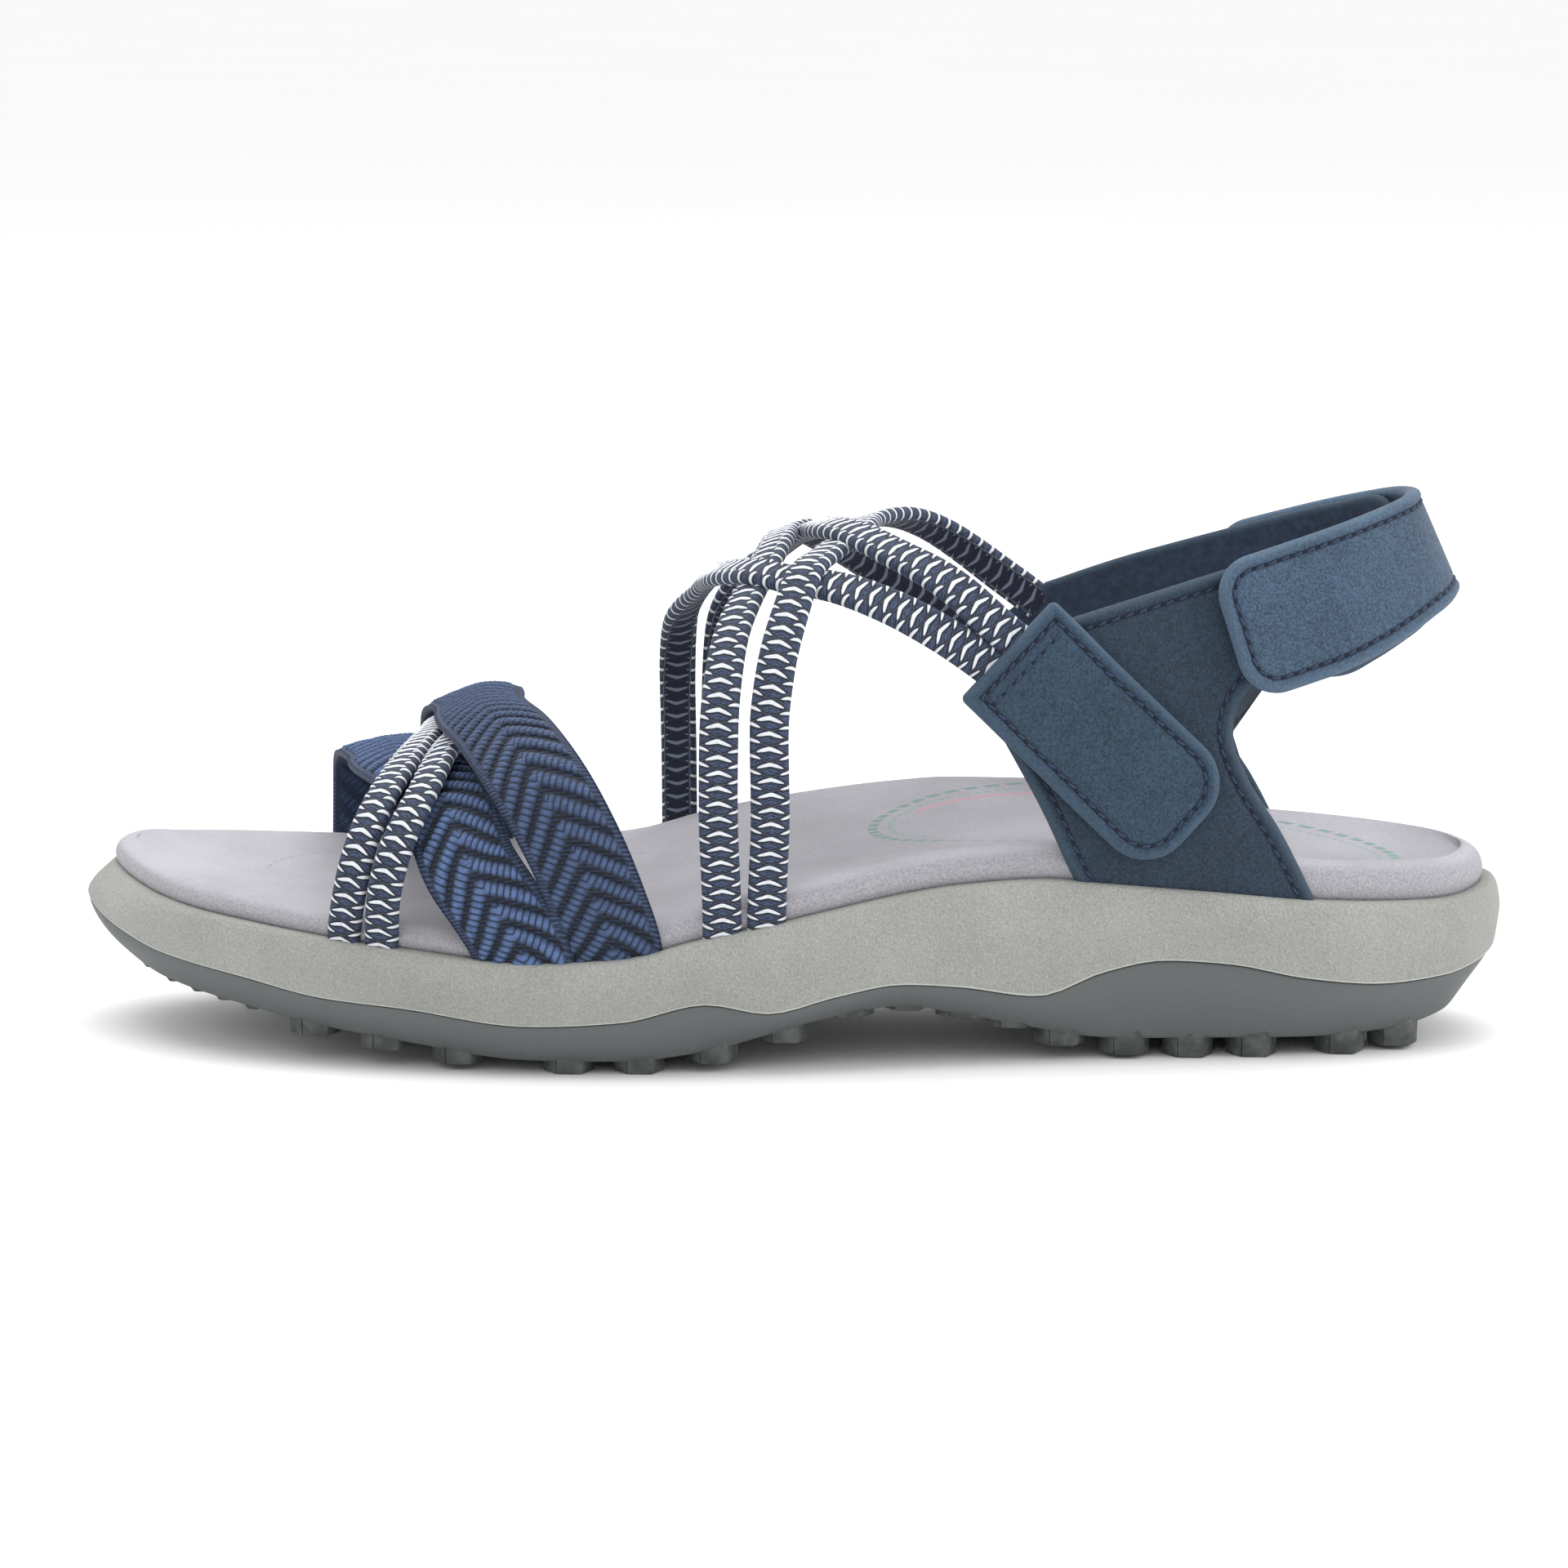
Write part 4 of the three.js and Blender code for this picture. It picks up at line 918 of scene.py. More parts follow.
TAB_LOWER = [
    (0.14, 0.645, -0.85), (0.166, 0.6279, -0.8), (0.211, 0.598, -0.3), (0.271, 0.5623, 0),
    (0.334, 0.527, 0), (0.37, 0.505, 0.1), (0.41, 0.4799, 1), (0.47, 0.459, 0.8), (0.56, 0.44, 0),
    (0.683, 0.4221, 0), (0.852, 0.417, 0), (1, 0.4176, 0),
]
print("straps: two bands and six cords")


# %% [markdown]
# ## Woven bands
# The two bands over the toes are thick elastic webbing with one row of chevrons. Each chevron is a
# fat rib, wound from short strands that lie across it. One could place a curve for each strand, but
# there are thousands. Here a sum gives the height of the woven face: a rib's place is the run, plus
# a lean to either side of the middle. The mesh is raised by that sum, and the finish uses the same
# sum on the UV map, so its dark hollows lie between the raised ribs.

# %% Chevrons
RIB_PITCH = 4.8
RIB_HEIGHT = 0.9
RIB_SHARE = 0.76
STRAND = 1.15
RIB_SHIFT = 0.37
SELVEDGE = 1.5
WEBBING_WIDTH = 17.2
INNER_FACE = 100.0


def chevron(run, across, slopes):
    """Height of the woven face, from 0 between the ribs to 1 on a strand's crest."""
    lean = lerp(*slopes, smooth(across, -0.5, 0.5))
    away = np.sqrt(across ** 2 + 0.3)
    place = (run + lean * away) / RIB_PITCH
    turn = place % 1
    phase = (away - lean * run) / (STRAND * np.sqrt(1 + lean ** 2)) + RIB_SHIFT * np.floor(place)
    strand = np.abs(np.sin(np.pi * phase))
    off = np.abs(turn - 0.5) * 2 / RIB_SHARE + 0.12 * (1 - strand)
    rib = np.sqrt(np.clip(1 - off ** 2, 0, 1)) * (0.7 + 0.3 * strand)
    inner = smooth(WEBBING_WIDTH / 2 - np.abs(across), SELVEDGE * 0.7, SELVEDGE * 1.2)
    selvedge = 0.35 + 0.2 * np.abs(np.sin(np.pi * run / 0.8))
    return lerp(selvedge, rib, inner)


def woven_finish(name, slopes, lit_strand_colour):
    """The same chevrons as a finish, with strands across the ribs and fine cords between them."""
    weave = Finish(name, 0.8, Sheen_Weight=0.05)
    u, v, back = weave.strap_map()
    away = weave.sum("SQRT", v * v + 0.3)
    lean = weave.ramp(v, -0.5, 0.5, *slopes)
    place = (away * lean + u) / RIB_PITCH
    off = abs(weave.sum("FRACT", place) - 0.5) * (2 / RIB_SHARE)
    rough = weave.grain(900, 3)
    along = (away - lean * u) / (weave.sum("SQRT", lean * lean + 1.0) * STRAND)
    phase = weave.sum("FLOOR", place) * RIB_SHIFT + along
    strand = abs(weave.sum("SINE", phase * math.pi))
    half = WEBBING_WIDTH / 2
    edge = weave.ramp(abs(v), half - SELVEDGE * 1.2, half - SELVEDGE * 0.7)
    rib = weave.ramp(off + (1.0 - strand) * 0.2, 1.12, 0.9) * (1.0 - edge)
    rungs = abs(weave.sum("SINE", (v * 0.4 + u) * (math.pi / 0.8)))
    dim = weave.ramp(rungs, 0.6, 0.97) * weave.ramp(rough, 0.35, 0.6, 0.35, 1.0)
    # Between the ribs the dark yarn also carries painted shade, lighter on the fine cords. On the
    # ribs, lit is a painted highlight on the strands' crests, and 0f1829 a painted shade on their
    # sides.
    low, high = weave.mix(edge, "080e1b", "162238"), weave.mix(edge, "24344f", "3a4c6c")
    lit = weave.ramp(strand, 0.0, 0.8, 0.12, 1.0) * weave.ramp(off, 1.0, 0.2, 0.25, 1.0)
    lit = lit * weave.ramp(rough, 0.25, 0.65, 0.6, 1.15)
    tone = weave.mix(rib, weave.mix(dim, low, high), weave.mix(lit, "0f1829", lit_strand_colour))
    weave.set("Base Color", weave.mix(back * 0.75, tone, "1b2a47"))
    weave.relief((dim + rib) * 0.3 + strand * rib * 0.5, 0.35)
    return weave.material


REAR_SLOPES, FRONT_SLOPES = (1.0, 0.95), (0.95, 1.0)
# The two bands share one weave. The front one is painted lighter, painted light that makes up for
# the shade the rear band casts on it.
REAR_WEAVE = woven_finish("blue_weave_rear", REAR_SLOPES, "41557a")
FRONT_WEAVE = woven_finish("blue_weave_front", FRONT_SLOPES, "526a96")
print("chevrons", RIB_PITCH, "mm apart")

# %% [markdown]
# A strap's section is a closed loop: an outer face, a round edge, an inner face and a second round
# edge. The grid is wrapped once round that loop and swept along the strap's line. On the inner face
# the UV map is set off by a fixed step, so that a finish can tell the two faces apart.


# %% Sections of straps and cords
def band_section(half, thickness, edge, outer_steps, inner_steps=10, edge_steps=4):
    """Across, up and face (0 outer, 1 inner) of a band's section, closed."""
    outer = np.linspace(-half + edge, half - edge, outer_steps + 1)
    inner = np.linspace(half - edge, -half + edge, inner_steps + 1)
    corner = np.linspace(0, math.pi, 2 * edge_steps + 1)[1:-1]
    round_edge = half - edge + edge * np.sin(corner)
    across = np.concatenate([outer, round_edge, inner, -round_edge])
    middle, bulge = thickness / 2, thickness / 2 * np.cos(corner)
    up = np.concatenate([0 * outer + thickness, middle + bulge, 0 * inner, middle - bulge])
    face = np.concatenate([0 * outer, 0 * corner, 0 * inner + 1, 0 * corner])
    return [np.append(each, each[0]) for each in (across, up, face)]


CREST_RISES, CREST_FALLS = (0, 24), (12, 30)
DRAWN_IN = 1.4


def sweep(name, line, section, relief, curl=0.0):
    """A strap: its section swept along its line, with relief(run, across) added to the outer face.
    Where it is highest, and just past that, its rear edge curls down."""
    points, out, aside = line
    across, up, face = section
    run = run_along(points)
    runs = np.repeat(run[:, None], len(across), axis=1)
    ups = np.repeat(up[None], len(run), axis=0)
    ups = ups + relief(runs, across[None]) * (up[None] > up.max() * 0.8)
    fall = points[:, 2].max() - points[:, 2]
    past = np.arange(len(fall)) > fall.argmin()
    off_crest = np.where(past, smooth(fall, *CREST_FALLS), smooth(fall, *CREST_RISES))
    crest = curl * (1 - off_crest)[:, None]
    rear = np.maximum(across[None], 0)
    drawn_in = across[None] - DRAWN_IN * crest * rear
    ups = ups - crest * rear ** 2
    body = points[:, None] + aside[:, None] * drawn_in[..., None] + out[:, None] * ups[..., None]
    sheet_v = across + face * INNER_FACE
    uv = np.stack([runs, np.repeat(sheet_v[None], len(run), axis=0)], axis=2)
    return close_up(grid_piece(name, body, uv))


FINE_STEP = 0.3
BAND_CROWN = 0.008
BAND_EDGE, BAND_STEPS = 0.8, 96
CORD_EDGE, CORD_STEPS = 1.25, (20, 8, 5)
for name, table, layer, finish, slopes, curl in (
    ("toe_band_rear", REAR_WEBBING, CORD_THICKNESS + GAP, REAR_WEAVE, REAR_SLOPES, 0.034),
    ("toe_band_front", FRONT_WEBBING, WEBBING_THICKNESS, FRONT_WEAVE, FRONT_SLOPES, 0.008),
):
    line = strap_line(table, layer, FINE_STEP)
    section = band_section(WEBBING_WIDTH / 2, WEBBING_THICKNESS, BAND_EDGE, BAND_STEPS)
    rib = lambda run, across: RIB_HEIGHT * (chevron(run, across, slopes) - 0.6)
    ribs = lambda run, across: rib(run, across) - BAND_CROWN * across ** 2
    band = sweep(name, line, section, ribs, curl)
    finish_piece(band, ["toe_webbing"], finish)

# %% [markdown]
# ## Cords
# A cord is a narrow elastic braid. White yarn comes to its face in short ticks with a bent middle:
# one row down the middle, and one round each edge that is set off by half a step. The ticks stand a
# little proud, so they are in the mesh as well as in the finish.

# %% Ticks of the cords
TICK_HALF, TICK_EDGE = 2.35, 1.75
TICK_THICK, TICK_THIN = 0.35, 0.29
TICK_LEAN = 0.3
TICK_SHEAR = 0.06
TICK_RAISE = 0.16


def tick_height(run, across, half, pitch):
    """1 on a tick of white yarn and 0 beside it."""
    away = np.sqrt(across ** 2 + 0.1)
    shear = run + TICK_SHEAR * across

    def row(distance, reach, width, offset):
        place = (shear + TICK_LEAN * distance) / pitch + offset
        off = np.abs(place % 1 - 0.5) * pitch
        thick = width * np.sqrt(np.clip(1 - (distance / reach) ** 2, 0, 1))
        return smooth(thick - off, -0.15, 0.15)

    edge = np.maximum(half - away, 0)
    return np.maximum(row(away, TICK_HALF, TICK_THICK, 0), row(edge, TICK_EDGE, TICK_THIN, 0.5))


def cord_finish(name, half, pitch):
    cord = Finish(name, 0.8, Sheen_Weight=0.05)
    u, v, back = cord.strap_map()
    away = cord.sum("SQRT", v * v + 0.1)
    run = v * TICK_SHEAR + u + cord.grain(260, 2) * 0.35

    def row(distance, reach, width, offset):
        place = (distance * TICK_LEAN + run) / pitch + offset
        off = abs(cord.sum("FRACT", place) - 0.5) * pitch
        share = distance / reach
        taper = cord.sum("SQRT", cord.sum("MAXIMUM", 1.0 - share * share, 0.0))
        return taper * width - off

    edge = cord.sum("MAXIMUM", half - away, 0.0)
    rows = row(away, TICK_HALF, TICK_THICK, 0.0), row(edge, TICK_EDGE, TICK_THIN, 0.5)
    inside = cord.sum("MAXIMUM", *rows)
    tick = cord.ramp(inside, -0.05, 0.06)
    thread = cord.grain(1500, 3)
    ribs = abs(cord.sum("SINE", (away * 0.5 + u) * (math.pi / 0.55)))
    cloth = thread * 0.8 + ribs * 0.3
    field = cord.mix(cord.ramp(cloth, 0.35, 0.8), "131c30", "3d4c69")
    # Painted shade round each tick: the field darkens where it nears the white yarn.
    field = cord.mix(cord.ramp(inside, -0.6, -0.08) * 0.9, field, "070c18")
    front = cord.mix(tick, field, cord.mix(thread, "b9bec8", "eceef1"))
    cord.set("Base Color", cord.mix(back, front, cord.mix(tick, "10182c", "6e7687")))
    cord.relief(tick * 0.8 + cloth * 0.25, 0.25, 0.8)
    return cord.material


TOE = (6.2, 2.65, WEBBING_THICKNESS + GAP)
INSTEP = (6.9, 2.58, CORD_THICKNESS - GAP)
TICKS = {kind: cord_finish(name, kind[0] / 2, kind[1])
         for kind, name in ((TOE, "navy_cord_toe"), (INSTEP, "navy_cord_instep"))}
for name, table, kind, stands_for in (
    ("toe_cord_one", FRONT_TOE_CORD, TOE, "toe_cord_front"),
    ("toe_cord_two", REAR_TOE_CORD, TOE, "toe_cord_rear"),
    ("instep_cord_front", INSTEP_FRONT, INSTEP, "instep_cords"),
    ("instep_cord_rear", INSTEP_REAR, INSTEP, "instep_cords"),
    ("tab_cord_upper", TAB_UPPER, INSTEP, "instep_cords"),
    ("tab_cord_lower", TAB_LOWER, INSTEP, "instep_cords"),
):
    width, pitch, layer = kind
    line = strap_line(table, layer, FINE_STEP)
    section = band_section(width / 2, CORD_THICKNESS, CORD_EDGE, *CORD_STEPS)
    raised = lambda run, across: TICK_RAISE * tick_height(run, across, width / 2, pitch)
    finish_piece(sweep(name, line, section, raised), [stands_for], TICKS[kind])

# %% [markdown]
# ## Leather round the heel
# Two quarters rise from the sole and meet under the heel strap, which closes on the outer side. All
# of it lies on one wall: a loop round the ankle, in a plane that rises to the back, led down to the
# sole. A place on the wall is given by its run round the loop, from the back, and its drop below
# the edge.

# %% The ankle's wall
COLLAR_HEIGHT = 99.0
COLLAR_LEAN = 19.0
COLLAR_TILT = math.radians(16.5)
COLLAR_WIDTH = 47.0
COLLAR_REACH = 90.0
COLLAR_FLARE = 0.13
COLLAR = np.array([
    (0, 0), (0.022, 0.16), (0.06, 0.245), (0.155, 0.375), (0.33, 0.485), (0.5, 0.54), (0.67, 0.595),
    (0.8, 0.635), (1, 0.69),
]) * (COLLAR_REACH, COLLAR_WIDTH)
HALF_LOOP = 1000
loop_fine = rounded_curve(np.vstack([COLLAR[:0:-1] * (1, -1), COLLAR]), False, 2 * HALF_LOOP + 1)
LOOP_RUN = run_along(loop_fine)
LOOP_RUN -= LOOP_RUN[HALF_LOOP]
LOOP_AHEAD = unit(np.gradient(loop_fine, axis=0))
COLLAR_X = LENGTH / 2 - COLLAR_LEAN
COLLAR_Y = float(edge_y(COLLAR_X, False, 0) + edge_y(COLLAR_X, True, 0)) / 2
TILT_COS, TILT_SIN = math.cos(COLLAR_TILT), math.sin(COLLAR_TILT)


def collar_top(x):
    return COLLAR_HEIGHT - (COLLAR_X - x) * TILT_SIN / TILT_COS


def wall_point(run, drop):
    """A point of the wall. Runs on the outer side are minus."""
    p = np.stack([np.interp(run, LOOP_RUN, loop_fine[:, k]) for k in (0, 1)], axis=-1)
    ahead = unit(np.stack([np.interp(run, LOOP_RUN, LOOP_AHEAD[:, k]) for k in (0, 1)], axis=-1))
    forward = p[..., 0] - ahead[..., 1] * COLLAR_FLARE * drop
    sideways = COLLAR_Y + p[..., 1] + ahead[..., 0] * COLLAR_FLARE * drop
    x = COLLAR_X - forward * TILT_COS + drop * TILT_SIN
    z = COLLAR_HEIGHT - forward * TILT_SIN - drop * TILT_COS
    seat = np.where(run > 0, edge_y(x, True, SEAT_INSET), edge_y(x, False, SEAT_INSET))
    low = top_line(x, seat)
    rise = smooth((z - low) / (collar_top(x) - low), 0, 0.55)
    return np.stack([x, lerp(seat, sideways, rise), z], axis=-1)


def wall_out(run, drop):
    step = 0.2
    along = wall_point(run + step, drop) - wall_point(run - step, drop)
    down = wall_point(run, drop + step) - wall_point(run, drop - step)
    return unit(np.cross(down, along))


def on_wall(chart):
    """Points and outward directions of a chart of runs and drops."""
    run, drop = chart[..., 0], chart[..., 1]
    return wall_point(run, drop), wall_out(run, drop)


def run_at(forward):
    return np.interp(forward, loop_fine[HALF_LOOP:, 0], LOOP_RUN[HALF_LOOP:])


def wall_chart(x, z, inner):
    """Run and drop of a place of the side view."""
    drop = (COLLAR_HEIGHT - z) * TILT_COS - (COLLAR_X - x) * TILT_SIN
    run = run_at((COLLAR_X - x) * TILT_COS + (COLLAR_HEIGHT - z) * TILT_SIN)
    return (run if inner else -run), drop


print("outer wall points to", np.round(wall_out(np.array([-60.0]), np.array([20.0]))[0], 2))

# %% [markdown]
# The leather is a nubuck: matt, with a fine nap that catches the light in soft clouds. Its edges
# are turned in, which makes a puffed rim, and a row of stitches draws a groove 2.6 mm inside that
# rim. The distance to the edge is kept on each corner of the mesh, for the shape and for the
# finish.

# %% Nubuck finish
STITCH_INSET = 2.6


def nubuck_finish(name, dark, light, rim_highlight):
    nubuck = Finish(name, 0.85, Sheen_Weight=0.06, Sheen_Roughness=0.6)
    fine, nap = nubuck.grain(2200, 3, 0.7), nubuck.grain(620, 4, 0.65)
    edge_mm, lining = nubuck.attribute("edge_mm"), nubuck.attribute("inner_face")
    tone = nap * 0.16 + fine * 0.72 + nubuck.grain(75, 4, 0.6) * 0.12
    skin = nubuck.mix(nubuck.ramp(tone, 0.33, 0.67), dark, light)
    # Painted highlight on the puffed rim, paler within about 2 mm of the edge.
    skin = nubuck.mix(nubuck.ramp(edge_mm, 2.2, 0.6) * 0.3, skin, rim_highlight)
    # Painted shade along the groove that the stitches draw.
    seam = nubuck.ramp(abs(edge_mm - STITCH_INSET), 0.75, 0.1)
    skin = nubuck.mix(seam * 0.45, skin, "182538")
    cloth = nubuck.mix(nubuck.ramp(nap, 0.3, 0.7), "1b283b", "2a3b54")
    inside = lining * nubuck.ramp(edge_mm, 0.7, 1.6)
    nubuck.set("Base Color", nubuck.mix(inside, skin, cloth))
    nubuck.relief(fine * 0.5 + nap, 0.12, 0.8)
    return nubuck.material


# One nubuck in three lit and shaded copies: the heel strap's is painted lighter and the quarters'
# darker than the tab's, as painted light and shade.
TAB_NUBUCK = nubuck_finish("navy_nubuck", "0c1d2c", "2d475d", "486178")
SHADED_QUARTER_NUBUCK = nubuck_finish("navy_nubuck_quarter_painted_darker", "0a1825", "273c4f", "41566a")
LIT_STRAP_NUBUCK = nubuck_finish("navy_nubuck_strap_painted_lighter", "1d2d3f", "435b73", "5d748b")
THREAD = speckled("navy_thread", 0.6, 3000, "0f1a30", "263a5c")
# Painted shade: a needle hole is a dark bar coloured as the shade inside the hole.
PAINTED_HOLE_SHADE = speckled("stitch_hole_painted_shade", 0.9, 3000, "0a101c", "141d30")
print("leather finishes ready")


# %% [markdown]
# ## Leather sheets
# A leather part is a grid on the ankle's wall, used twice: once for its outer and once for its
# inner face. Near the edge both faces bend towards each other and meet, like leather that is turned
# in and glued. A solidify modifier would leave a square edge here, and no puffed rim.

# %% Leather sheets
def distance_to(points, border):
    """Least distance of each point to a border line."""
    flat = points.reshape(-1, 3)
    best = np.full(len(flat), 1e9)
    for a, b in zip(border[:-1], border[1:]):
        edge = b - a
        t = np.clip(((flat - a) @ edge) / max(edge @ edge, 1e-9), 0, 1)
        best = np.minimum(best, np.linalg.norm(flat - a - t[:, None] * edge, axis=1))
    return best.reshape(points.shape[:2])


EDGE_RADIUS = 1.0
PUFF = 0.28
GROOVE_DEPTH, GROOVE_WIDTH = 0.3, 0.55


def turned_edge(distance, thickness):
    """Half the wall at a distance from the edge, and the puff and groove of its outer face."""
    held = np.sqrt(np.clip(1 - (1 - np.minimum(distance / EDGE_RADIUS, 1)) ** 2, 0, 1))
    rim = smooth(distance, 0.2, 1.2) * (1 - smooth(distance, 1.5, STITCH_INSET))
    groove = np.exp(-((distance - STITCH_INSET) / GROOVE_WIDTH) ** 2)
    return held * thickness / 2, PUFF * rim - GROOVE_DEPTH * groove


def leather_sheet(name, node, chart, border, thickness, offset, material, swell=0.0):
    """A closed leather wall on a chart of the ankle's wall. Its outer and inner faces meet at the
    edge, and away from it the outer face may swell."""
    base, out = on_wall(chart)
    distance = distance_to(base, wall_point(border[:, 0], border[:, 1]))
    half, puff = turned_edge(distance, thickness)
    middle = offset + thickness / 2
    outer = middle + half + puff + swell * smooth(distance, 0, 0.8)
    faces = []
    for part, height, side in (("outer", outer, 0.0), ("inner", middle - half, 1.0)):
        face = grid_piece(part, base + out * height[..., None])
        mark(face, "edge_mm", distance)
        mark(face, "inner_face", np.full(distance.size, side))
        faces.append(face)
    finish_piece(close_up(join(name, faces)), [node], material)


SHARES_NEAR = (0, 0.06, 0.18, 0.38, 0.65, 0.95, 1.3, 1.7, 2.05, 2.35, 2.6, 2.85, 3.15, 3.6, 4.2)


def across_steps(width):
    """Shares across a sheet, close together near both edges and even between."""
    near = np.array(SHARES_NEAR) * min(1, 0.45 * width / SHARES_NEAR[-1])
    middle = np.linspace(near[-1], width - near[-1], 16)[1:-1]
    return np.concatenate([near, middle, width - near[::-1]]) / width


print("steps near an edge:", len(SHARES_NEAR))

# %% [markdown]
# ## Stitches
# The seams are sewn with thick thread. Each stitch is a short bar with bevelled ends, turned a
# little off the seam, with a dark bar of painted shade standing for a needle hole between each two.
# One bar is modelled and copied along the line.

# %% Stitches
STITCH_PITCH = 2.5
STITCH_SLANT = math.radians(10)
STITCH_PARTS = (
    # name, length, width, height, shift along the row, sink, finish
    ("thread", 1.75, 0.55, 0.5, 0.0, 0.02, THREAD), ("holes", 0.85, 0.75, 0.32, 0.5, -0.02, PAINTED_HOLE_SHADE),
)


def stitch_pattern(length, width, height):
    """One stitch: a short bevelled bar."""
    clear_selection()
    upright = {"vertices": 8, "radius": width / 2 * MM, "depth": length * MM}
    bpy.ops.mesh.primitive_cylinder_add(rotation=(0, math.pi / 2, 0), **upright)
    bar = bpy.context.object
    bpy.ops.object.transform_apply(rotation=True)
    ends = bar.modifiers.new("ends", "BEVEL")
    ends.width, ends.segments = width * 0.3 * MM, 1
    ends.angle_limit = math.radians(60)
    bpy.ops.object.modifier_apply(modifier="ends")
    for v in bar.data.vertices:
        v.co.z *= height / width
    return bar


def stitch_row(name, path, out):
    """A row of stitches along a path, with a dark bar of painted shade standing for a needle hole
    between each two.
    """
    run = run_along(path)
    count = max(2, int(run[-1] / STITCH_PITCH))
    pick = lambda values, at: np.stack([np.interp(at, run, values[:, k]) for k in range(3)], axis=1)
    for kind, length, width, height, shift, sink, material in STITCH_PARTS:
        pattern = stitch_pattern(length, width, height)
        corners = corners_of(pattern)
        at = np.minimum((np.arange(count) + 0.5 + shift) * run[-1] / count, run[-1])
        up, way = unit(pick(out, at)), unit(pick(unit(np.gradient(path, axis=0)), at))
        turned = way * math.cos(STITCH_SLANT) + np.cross(up, way) * math.sin(STITCH_SLANT)
        frames = np.stack([turned, np.cross(up, turned), up], axis=1)
        centres = pick(path, at) + up * sink
        row = [copy_of(pattern, centre + corners @ axes) for centre, axes in zip(centres, frames)]
        bpy.data.objects.remove(pattern)
        row = only(join(name + "_" + kind, row))
        bpy.ops.object.shade_smooth()
        finish_piece(row, [], material)


def paced(line, count):
    """A line's points, spread evenly along it."""
    run = run_along(line)
    steps = np.linspace(0, run[-1], count)
    return np.stack([np.interp(steps, run, line[:, k]) for k in range(line.shape[1])], axis=1)


def aside_of(line):
    """The direction to the left of each point of a line on a chart."""
    ahead = unit(np.gradient(line, axis=0))
    return np.stack([-ahead[:, 1], ahead[:, 0]], axis=1)


def seam_inside(line, middle):
    """The stitches' line: an edge moved inwards, on the side of the sheet's middle, without the
    loops that sharp corners leave."""
    sides = []
    for moved in (line + aside_of(line) * STITCH_INSET, line - aside_of(line) * STITCH_INSET):
        gaps = np.linalg.norm(moved[:, None] - line[None], axis=2).min(axis=1)
        sides.append(moved[gaps > STITCH_INSET * 0.97])
    return min(sides, key=lambda each: np.linalg.norm(each - middle, axis=1).mean())


def rim_of(chart):
    """The closed edge of a chart."""
    return np.vstack([chart[:, 0], chart[-1], chart[::-1, -1], chart[0, ::-1]])


def sew(name, seam, lift, rise=lambda points, runs: 0 * runs):
    """Stitches along a line of the wall, lifted off it."""
    points, out = on_wall(seam)
    points += out * lift
    stitch_row(name, points + out * rise(points, seam[:, 0])[:, None], out)


def sew_round(name, chart, count, rise):
    """Stitches all round a sheet."""
    seam = seam_inside(paced(rim_of(chart), count), chart.reshape(-1, 2).mean(axis=0))
    sew(name, paced(np.vstack([seam, seam[:1]]), count), STITCH_LIFT, rise)


print("stitches", STITCH_PITCH, "mm apart")


# %% [markdown]
# ## Heel strap
# The strap is one band round the back of the heel. Its free end on the outer side is a rectangle
# with round corners. The grid's rows run across the strap, and get shorter towards the round
# corners.

# %% Heel strap
HEEL_STRAP_WIDTH = 25.0
HEEL_STRAP_BACK = 20.5
HEEL_STRAP_REACH = 35.0
CORNER = 7.0
FREE_END = 4.0
HOOK_AND_LOOP = 1.1
HOOK_REACH = 10
STITCH_LIFT = STRAP_THICKNESS - 0.15


def corner_half(half, distance, radius):
    """Half the width of a band at a distance from an end with round corners."""
    step = np.clip(1 - distance / radius, 0, 1)
    return half - radius + radius * np.sqrt(np.maximum(0, 1 - step ** 2))


def end_spacing(length, radius, fine, middle):
    """Places along a band, close together over the round corners of both ends."""
    corner = radius * (1 - np.cos(np.linspace(0, math.pi / 2, fine)))
    start = np.unique(np.concatenate([corner, [0.05, 0.15, 0.3, 0.5, 0.75, 1.0]]))
    between = np.linspace(radius, length - radius, middle)[1:-1]
    return np.concatenate([start, between, length - start[::-1]])


def strap_width(run):
    """The strap narrows towards the back of the heel."""
    return lerp(HEEL_STRAP_WIDTH, HEEL_STRAP_BACK, 1 - smooth(np.abs(run), 0, HEEL_STRAP_REACH))


def wedge(run):
    """The free end stands off a little, because the hook and loop lie under it."""
    return HOOK_AND_LOOP * smooth(-run, strap_end - HOOK_REACH, strap_end + FREE_END)


strap_end = float(run_at(HEEL_STRAP_REACH))
runs = end_spacing(2 * strap_end + FREE_END, CORNER, 26, 150) - strap_end - FREE_END
full_half = strap_width(runs) / 2
half = corner_half(full_half, np.minimum(strap_end - runs, runs + strap_end + FREE_END), CORNER)
share = across_steps(HEEL_STRAP_WIDTH)
drops = full_half[:, None] + half[:, None] * (2 * share[None] - 1)
chart = np.stack([np.repeat(runs[:, None], len(share), axis=1), drops], axis=2)
leather_sheet("heel_strap_leather", "heel_strap", chart, rim_of(chart), STRAP_THICKNESS,
              wedge(runs)[:, None], LIT_STRAP_NUBUCK)
sew_round("heel_strap_stitches", chart, 900, lambda points, runs: wedge(runs))

# %% [markdown]
# ## Quarters
# A quarter is one sheet: a stem that leans out of the sole, and an arm that goes back under the
# heel strap. Its front edge runs on along the collar, its rear edge curls into the arm, and the
# rows of the grid join the two, so that the sheet has no seam where stem and arm meet.

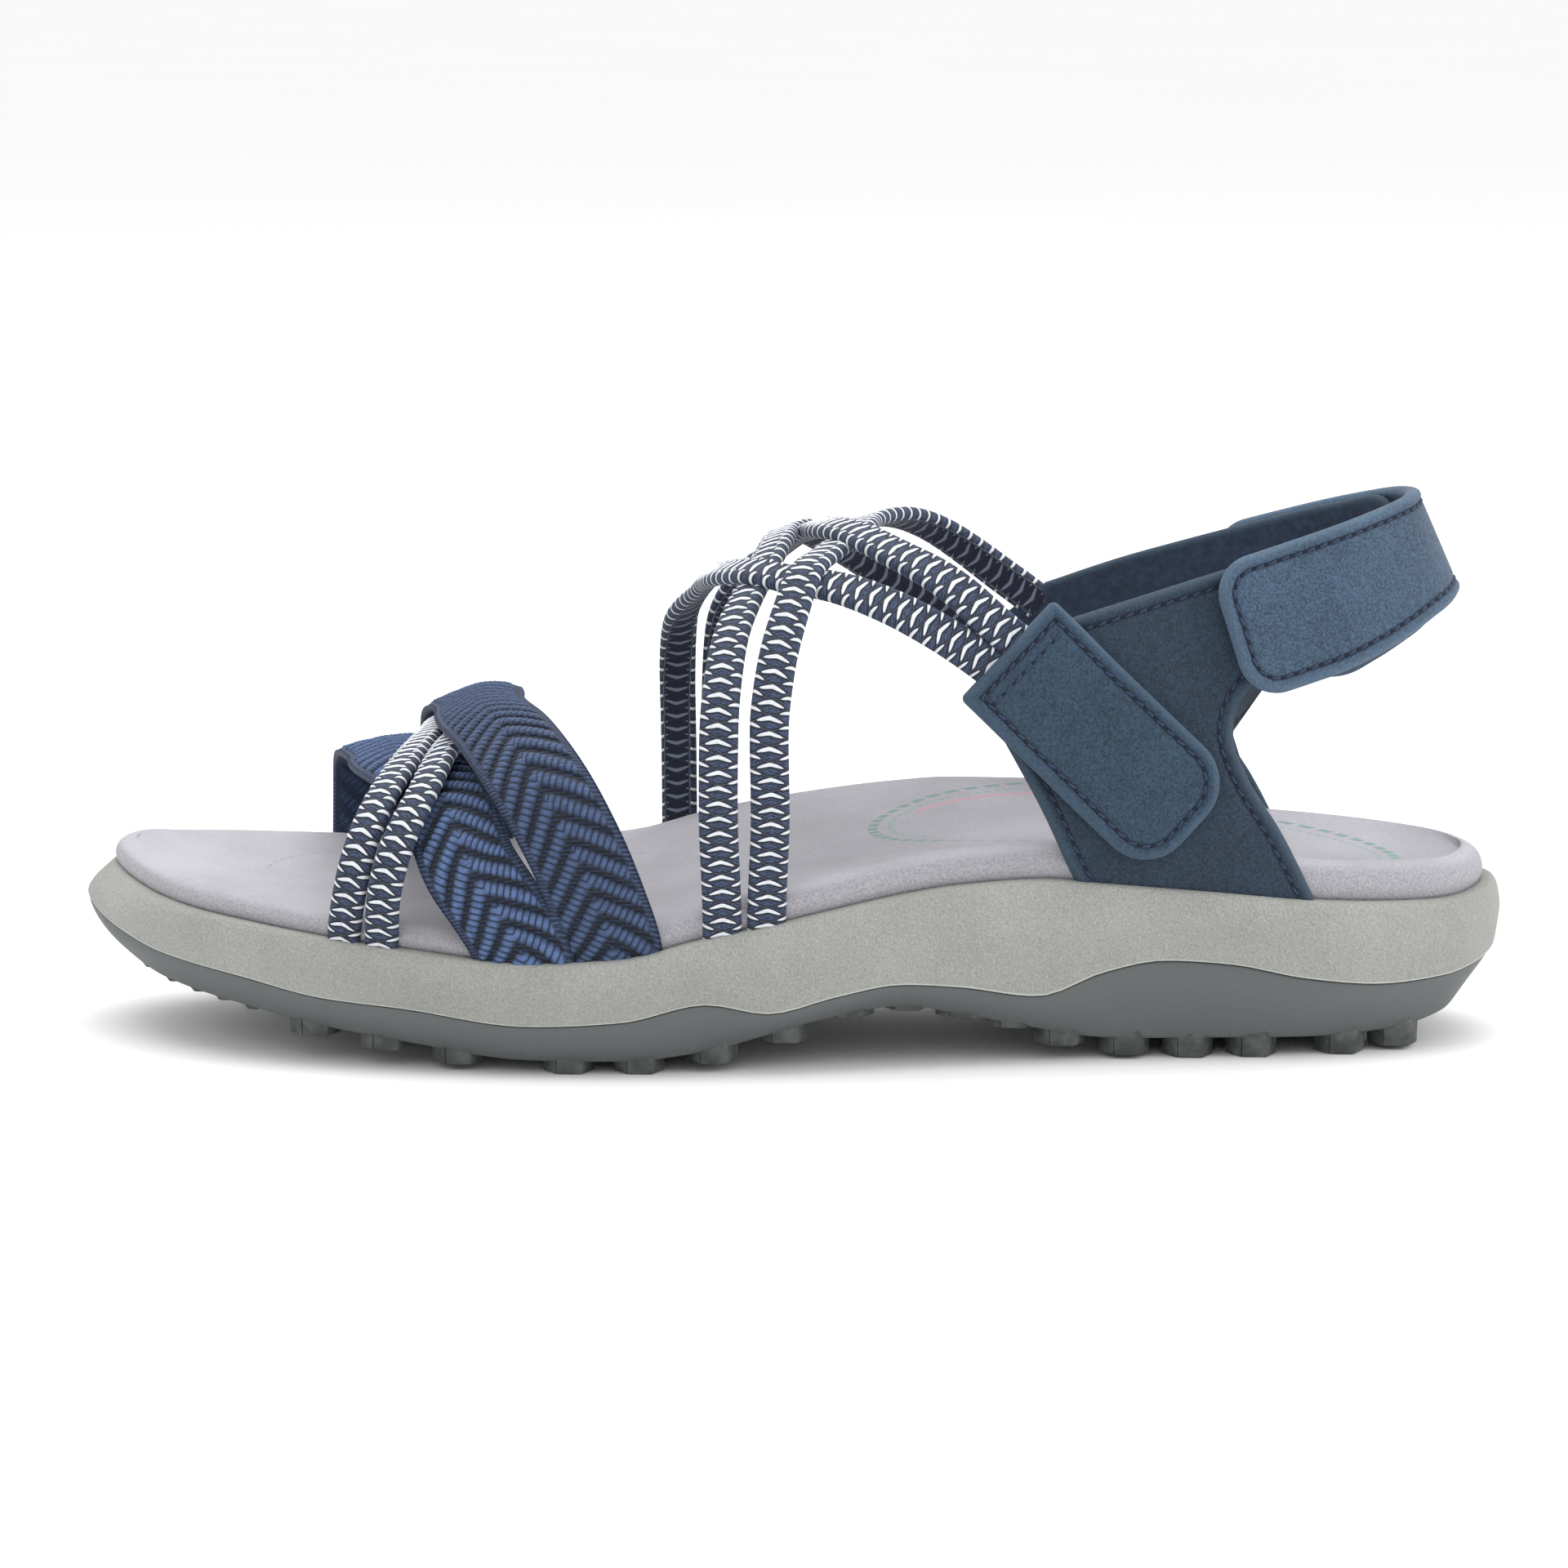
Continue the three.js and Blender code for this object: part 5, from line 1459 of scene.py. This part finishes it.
# %% Quarters
STEM_FRONT = [
    (0.702, -0.08), (0.691, 0), (0.668, 0.287), (0.647, 0.536), (0.634, 0.7), (0.632, 0.79),
    (0.655, 0.88), (0.684, 0.975),
]
STEM_REAR = [
    (0.862, -0.06), (0.855, 0), (0.832, 0.19), (0.809, 0.355), (0.8, 0.483), (0.8045, 0.56),
    (0.818, 0.62),
]
STEM_WIDTH = 26
ARM_END = 5.0
ARM_SHOWS = 0.8
CORD_SWELL = 1.7
CORD_END_PLACE = (84, 6)
CORD_END_RADII = (8, 16)


def stem_place(share, rise, inner):
    x = place_at(share)
    low = top_line(x, edge_y(x, inner, SEAT_INSET))
    return wall_chart(x, lerp(low, collar_top(x), rise), inner)


def quarter(name, inner):
    side = 1 if inner else -1
    stem_front = np.array([stem_place(at, rise, inner) for at, rise in STEM_FRONT])
    stem_rear = np.array([stem_place(at, rise, inner) for at, rise in STEM_REAR])
    lower = [(run, ARM_SHOWS + strap_width(run)) for run in (31, 25, 19, 13)]
    lower += [(8, ARM_SHOWS + strap_width(8) - 1), (ARM_END, 16)]
    rim = 0.2 if inner else 1.2
    upper = [(62, rim), (40, rim), (20, rim), (9, rim + 0.5), (ARM_END, 5)]
    rear = rounded_curve(np.vstack([stem_rear, np.array(lower) * (side, 1)]), False, 400)
    arm_edge = rounded_curve(np.vstack([stem_front[-1:], np.array(upper) * (side, 1)]), False, 160)
    front = np.vstack([rounded_curve(stem_front, False, 120), arm_edge[1:]])
    turn = int(np.argmin(np.linalg.norm(rear - stem_rear[-1], axis=1)))
    first = np.vstack([paced(front[:120], 120), paced(front[119:], 140)[1:]])
    last = np.vstack([paced(rear[:turn + 1], 120), paced(rear[turn:], 140)[1:]])
    chart = spread(first, last, across_steps(STEM_WIDTH))
    over_cord = 1 - smooth(np.linalg.norm(chart - CORD_END_PLACE, axis=2), *CORD_END_RADII)
    border = paced(np.vstack([front, rear[::-1]]), 500)
    leather_sheet(name + "_leather", name, chart, border, LEATHER_THICKNESS,
                  -GAP - LEATHER_THICKNESS, SHADED_QUARTER_NUBUCK, CORD_SWELL * over_cord)
    for part, line, toward in (("front", front, rear), ("rear", rear, front)):
        seam = seam_inside(paced(line, 600), toward.mean(axis=0))
        low = wall_point(seam[:, 0], seam[:, 1])
        seam = seam[low[:, 2] > top_line(low[:, 0], low[:, 1]) + 0.5]
        sew(f"{name}_{part}_stitches", paced(seam, 500), -GAP - 0.15)


quarter("quarter_outer", False)
quarter("quarter_inner", True)

# %% [markdown]
# ## Strap tab
# The tab carries the two rear cords over the outer quarter and closes on it. It is stitched all
# round, with a second row where it grips the cords.

# %% Strap tab
TAB_WIDTH = 24.0
TAB_CORNER = 8.5
TAB_FRONT_CORNER = 1.2
TAB_RISE = 2.0
TAB_RISE_FALLS = (5, 17)
tab_start = np.array([place_at(0.645), 0.75 * COLLAR_HEIGHT])
tab_end = np.array([place_at(0.77), 0.424 * COLLAR_HEIGHT])
tab_reach = float(np.linalg.norm(tab_end - tab_start))


def tab_rise(points, runs=None):
    """How far the tab is lifted by the cords under its front edge."""
    ahead = (points[..., ::2] - tab_start) @ unit(tab_end - tab_start)
    return TAB_RISE * (1 - smooth(ahead, *TAB_RISE_FALLS))


along = end_spacing(tab_reach, TAB_CORNER, 26, 60)
centre = tab_start + (tab_end - tab_start) * (along / tab_reach)[:, None]
chart = np.array([wall_chart(x, z, False) for x, z in centre])
half = np.minimum(corner_half(TAB_WIDTH / 2, tab_reach - along, TAB_CORNER),
                  corner_half(TAB_WIDTH / 2, along, TAB_FRONT_CORNER))
share = across_steps(TAB_WIDTH)
across = aside_of(chart) * half[:, None]
chart = spread(chart - across, chart + across, share)
thickness = STRAP_THICKNESS + tab_rise(on_wall(chart)[0])
leather_sheet("strap_tab_leather", "strap_tab", chart, rim_of(chart), thickness, 0.0, TAB_NUBUCK)
sew_round("tab_stitches", chart, 700, tab_rise)
row = chart[np.searchsorted(along, STITCH_INSET + 2.1), (share > 0.13) & (share < 0.87)]
sew("tab_cord_stitches", paced(row, 100), STITCH_LIFT + 0.12, tab_rise)
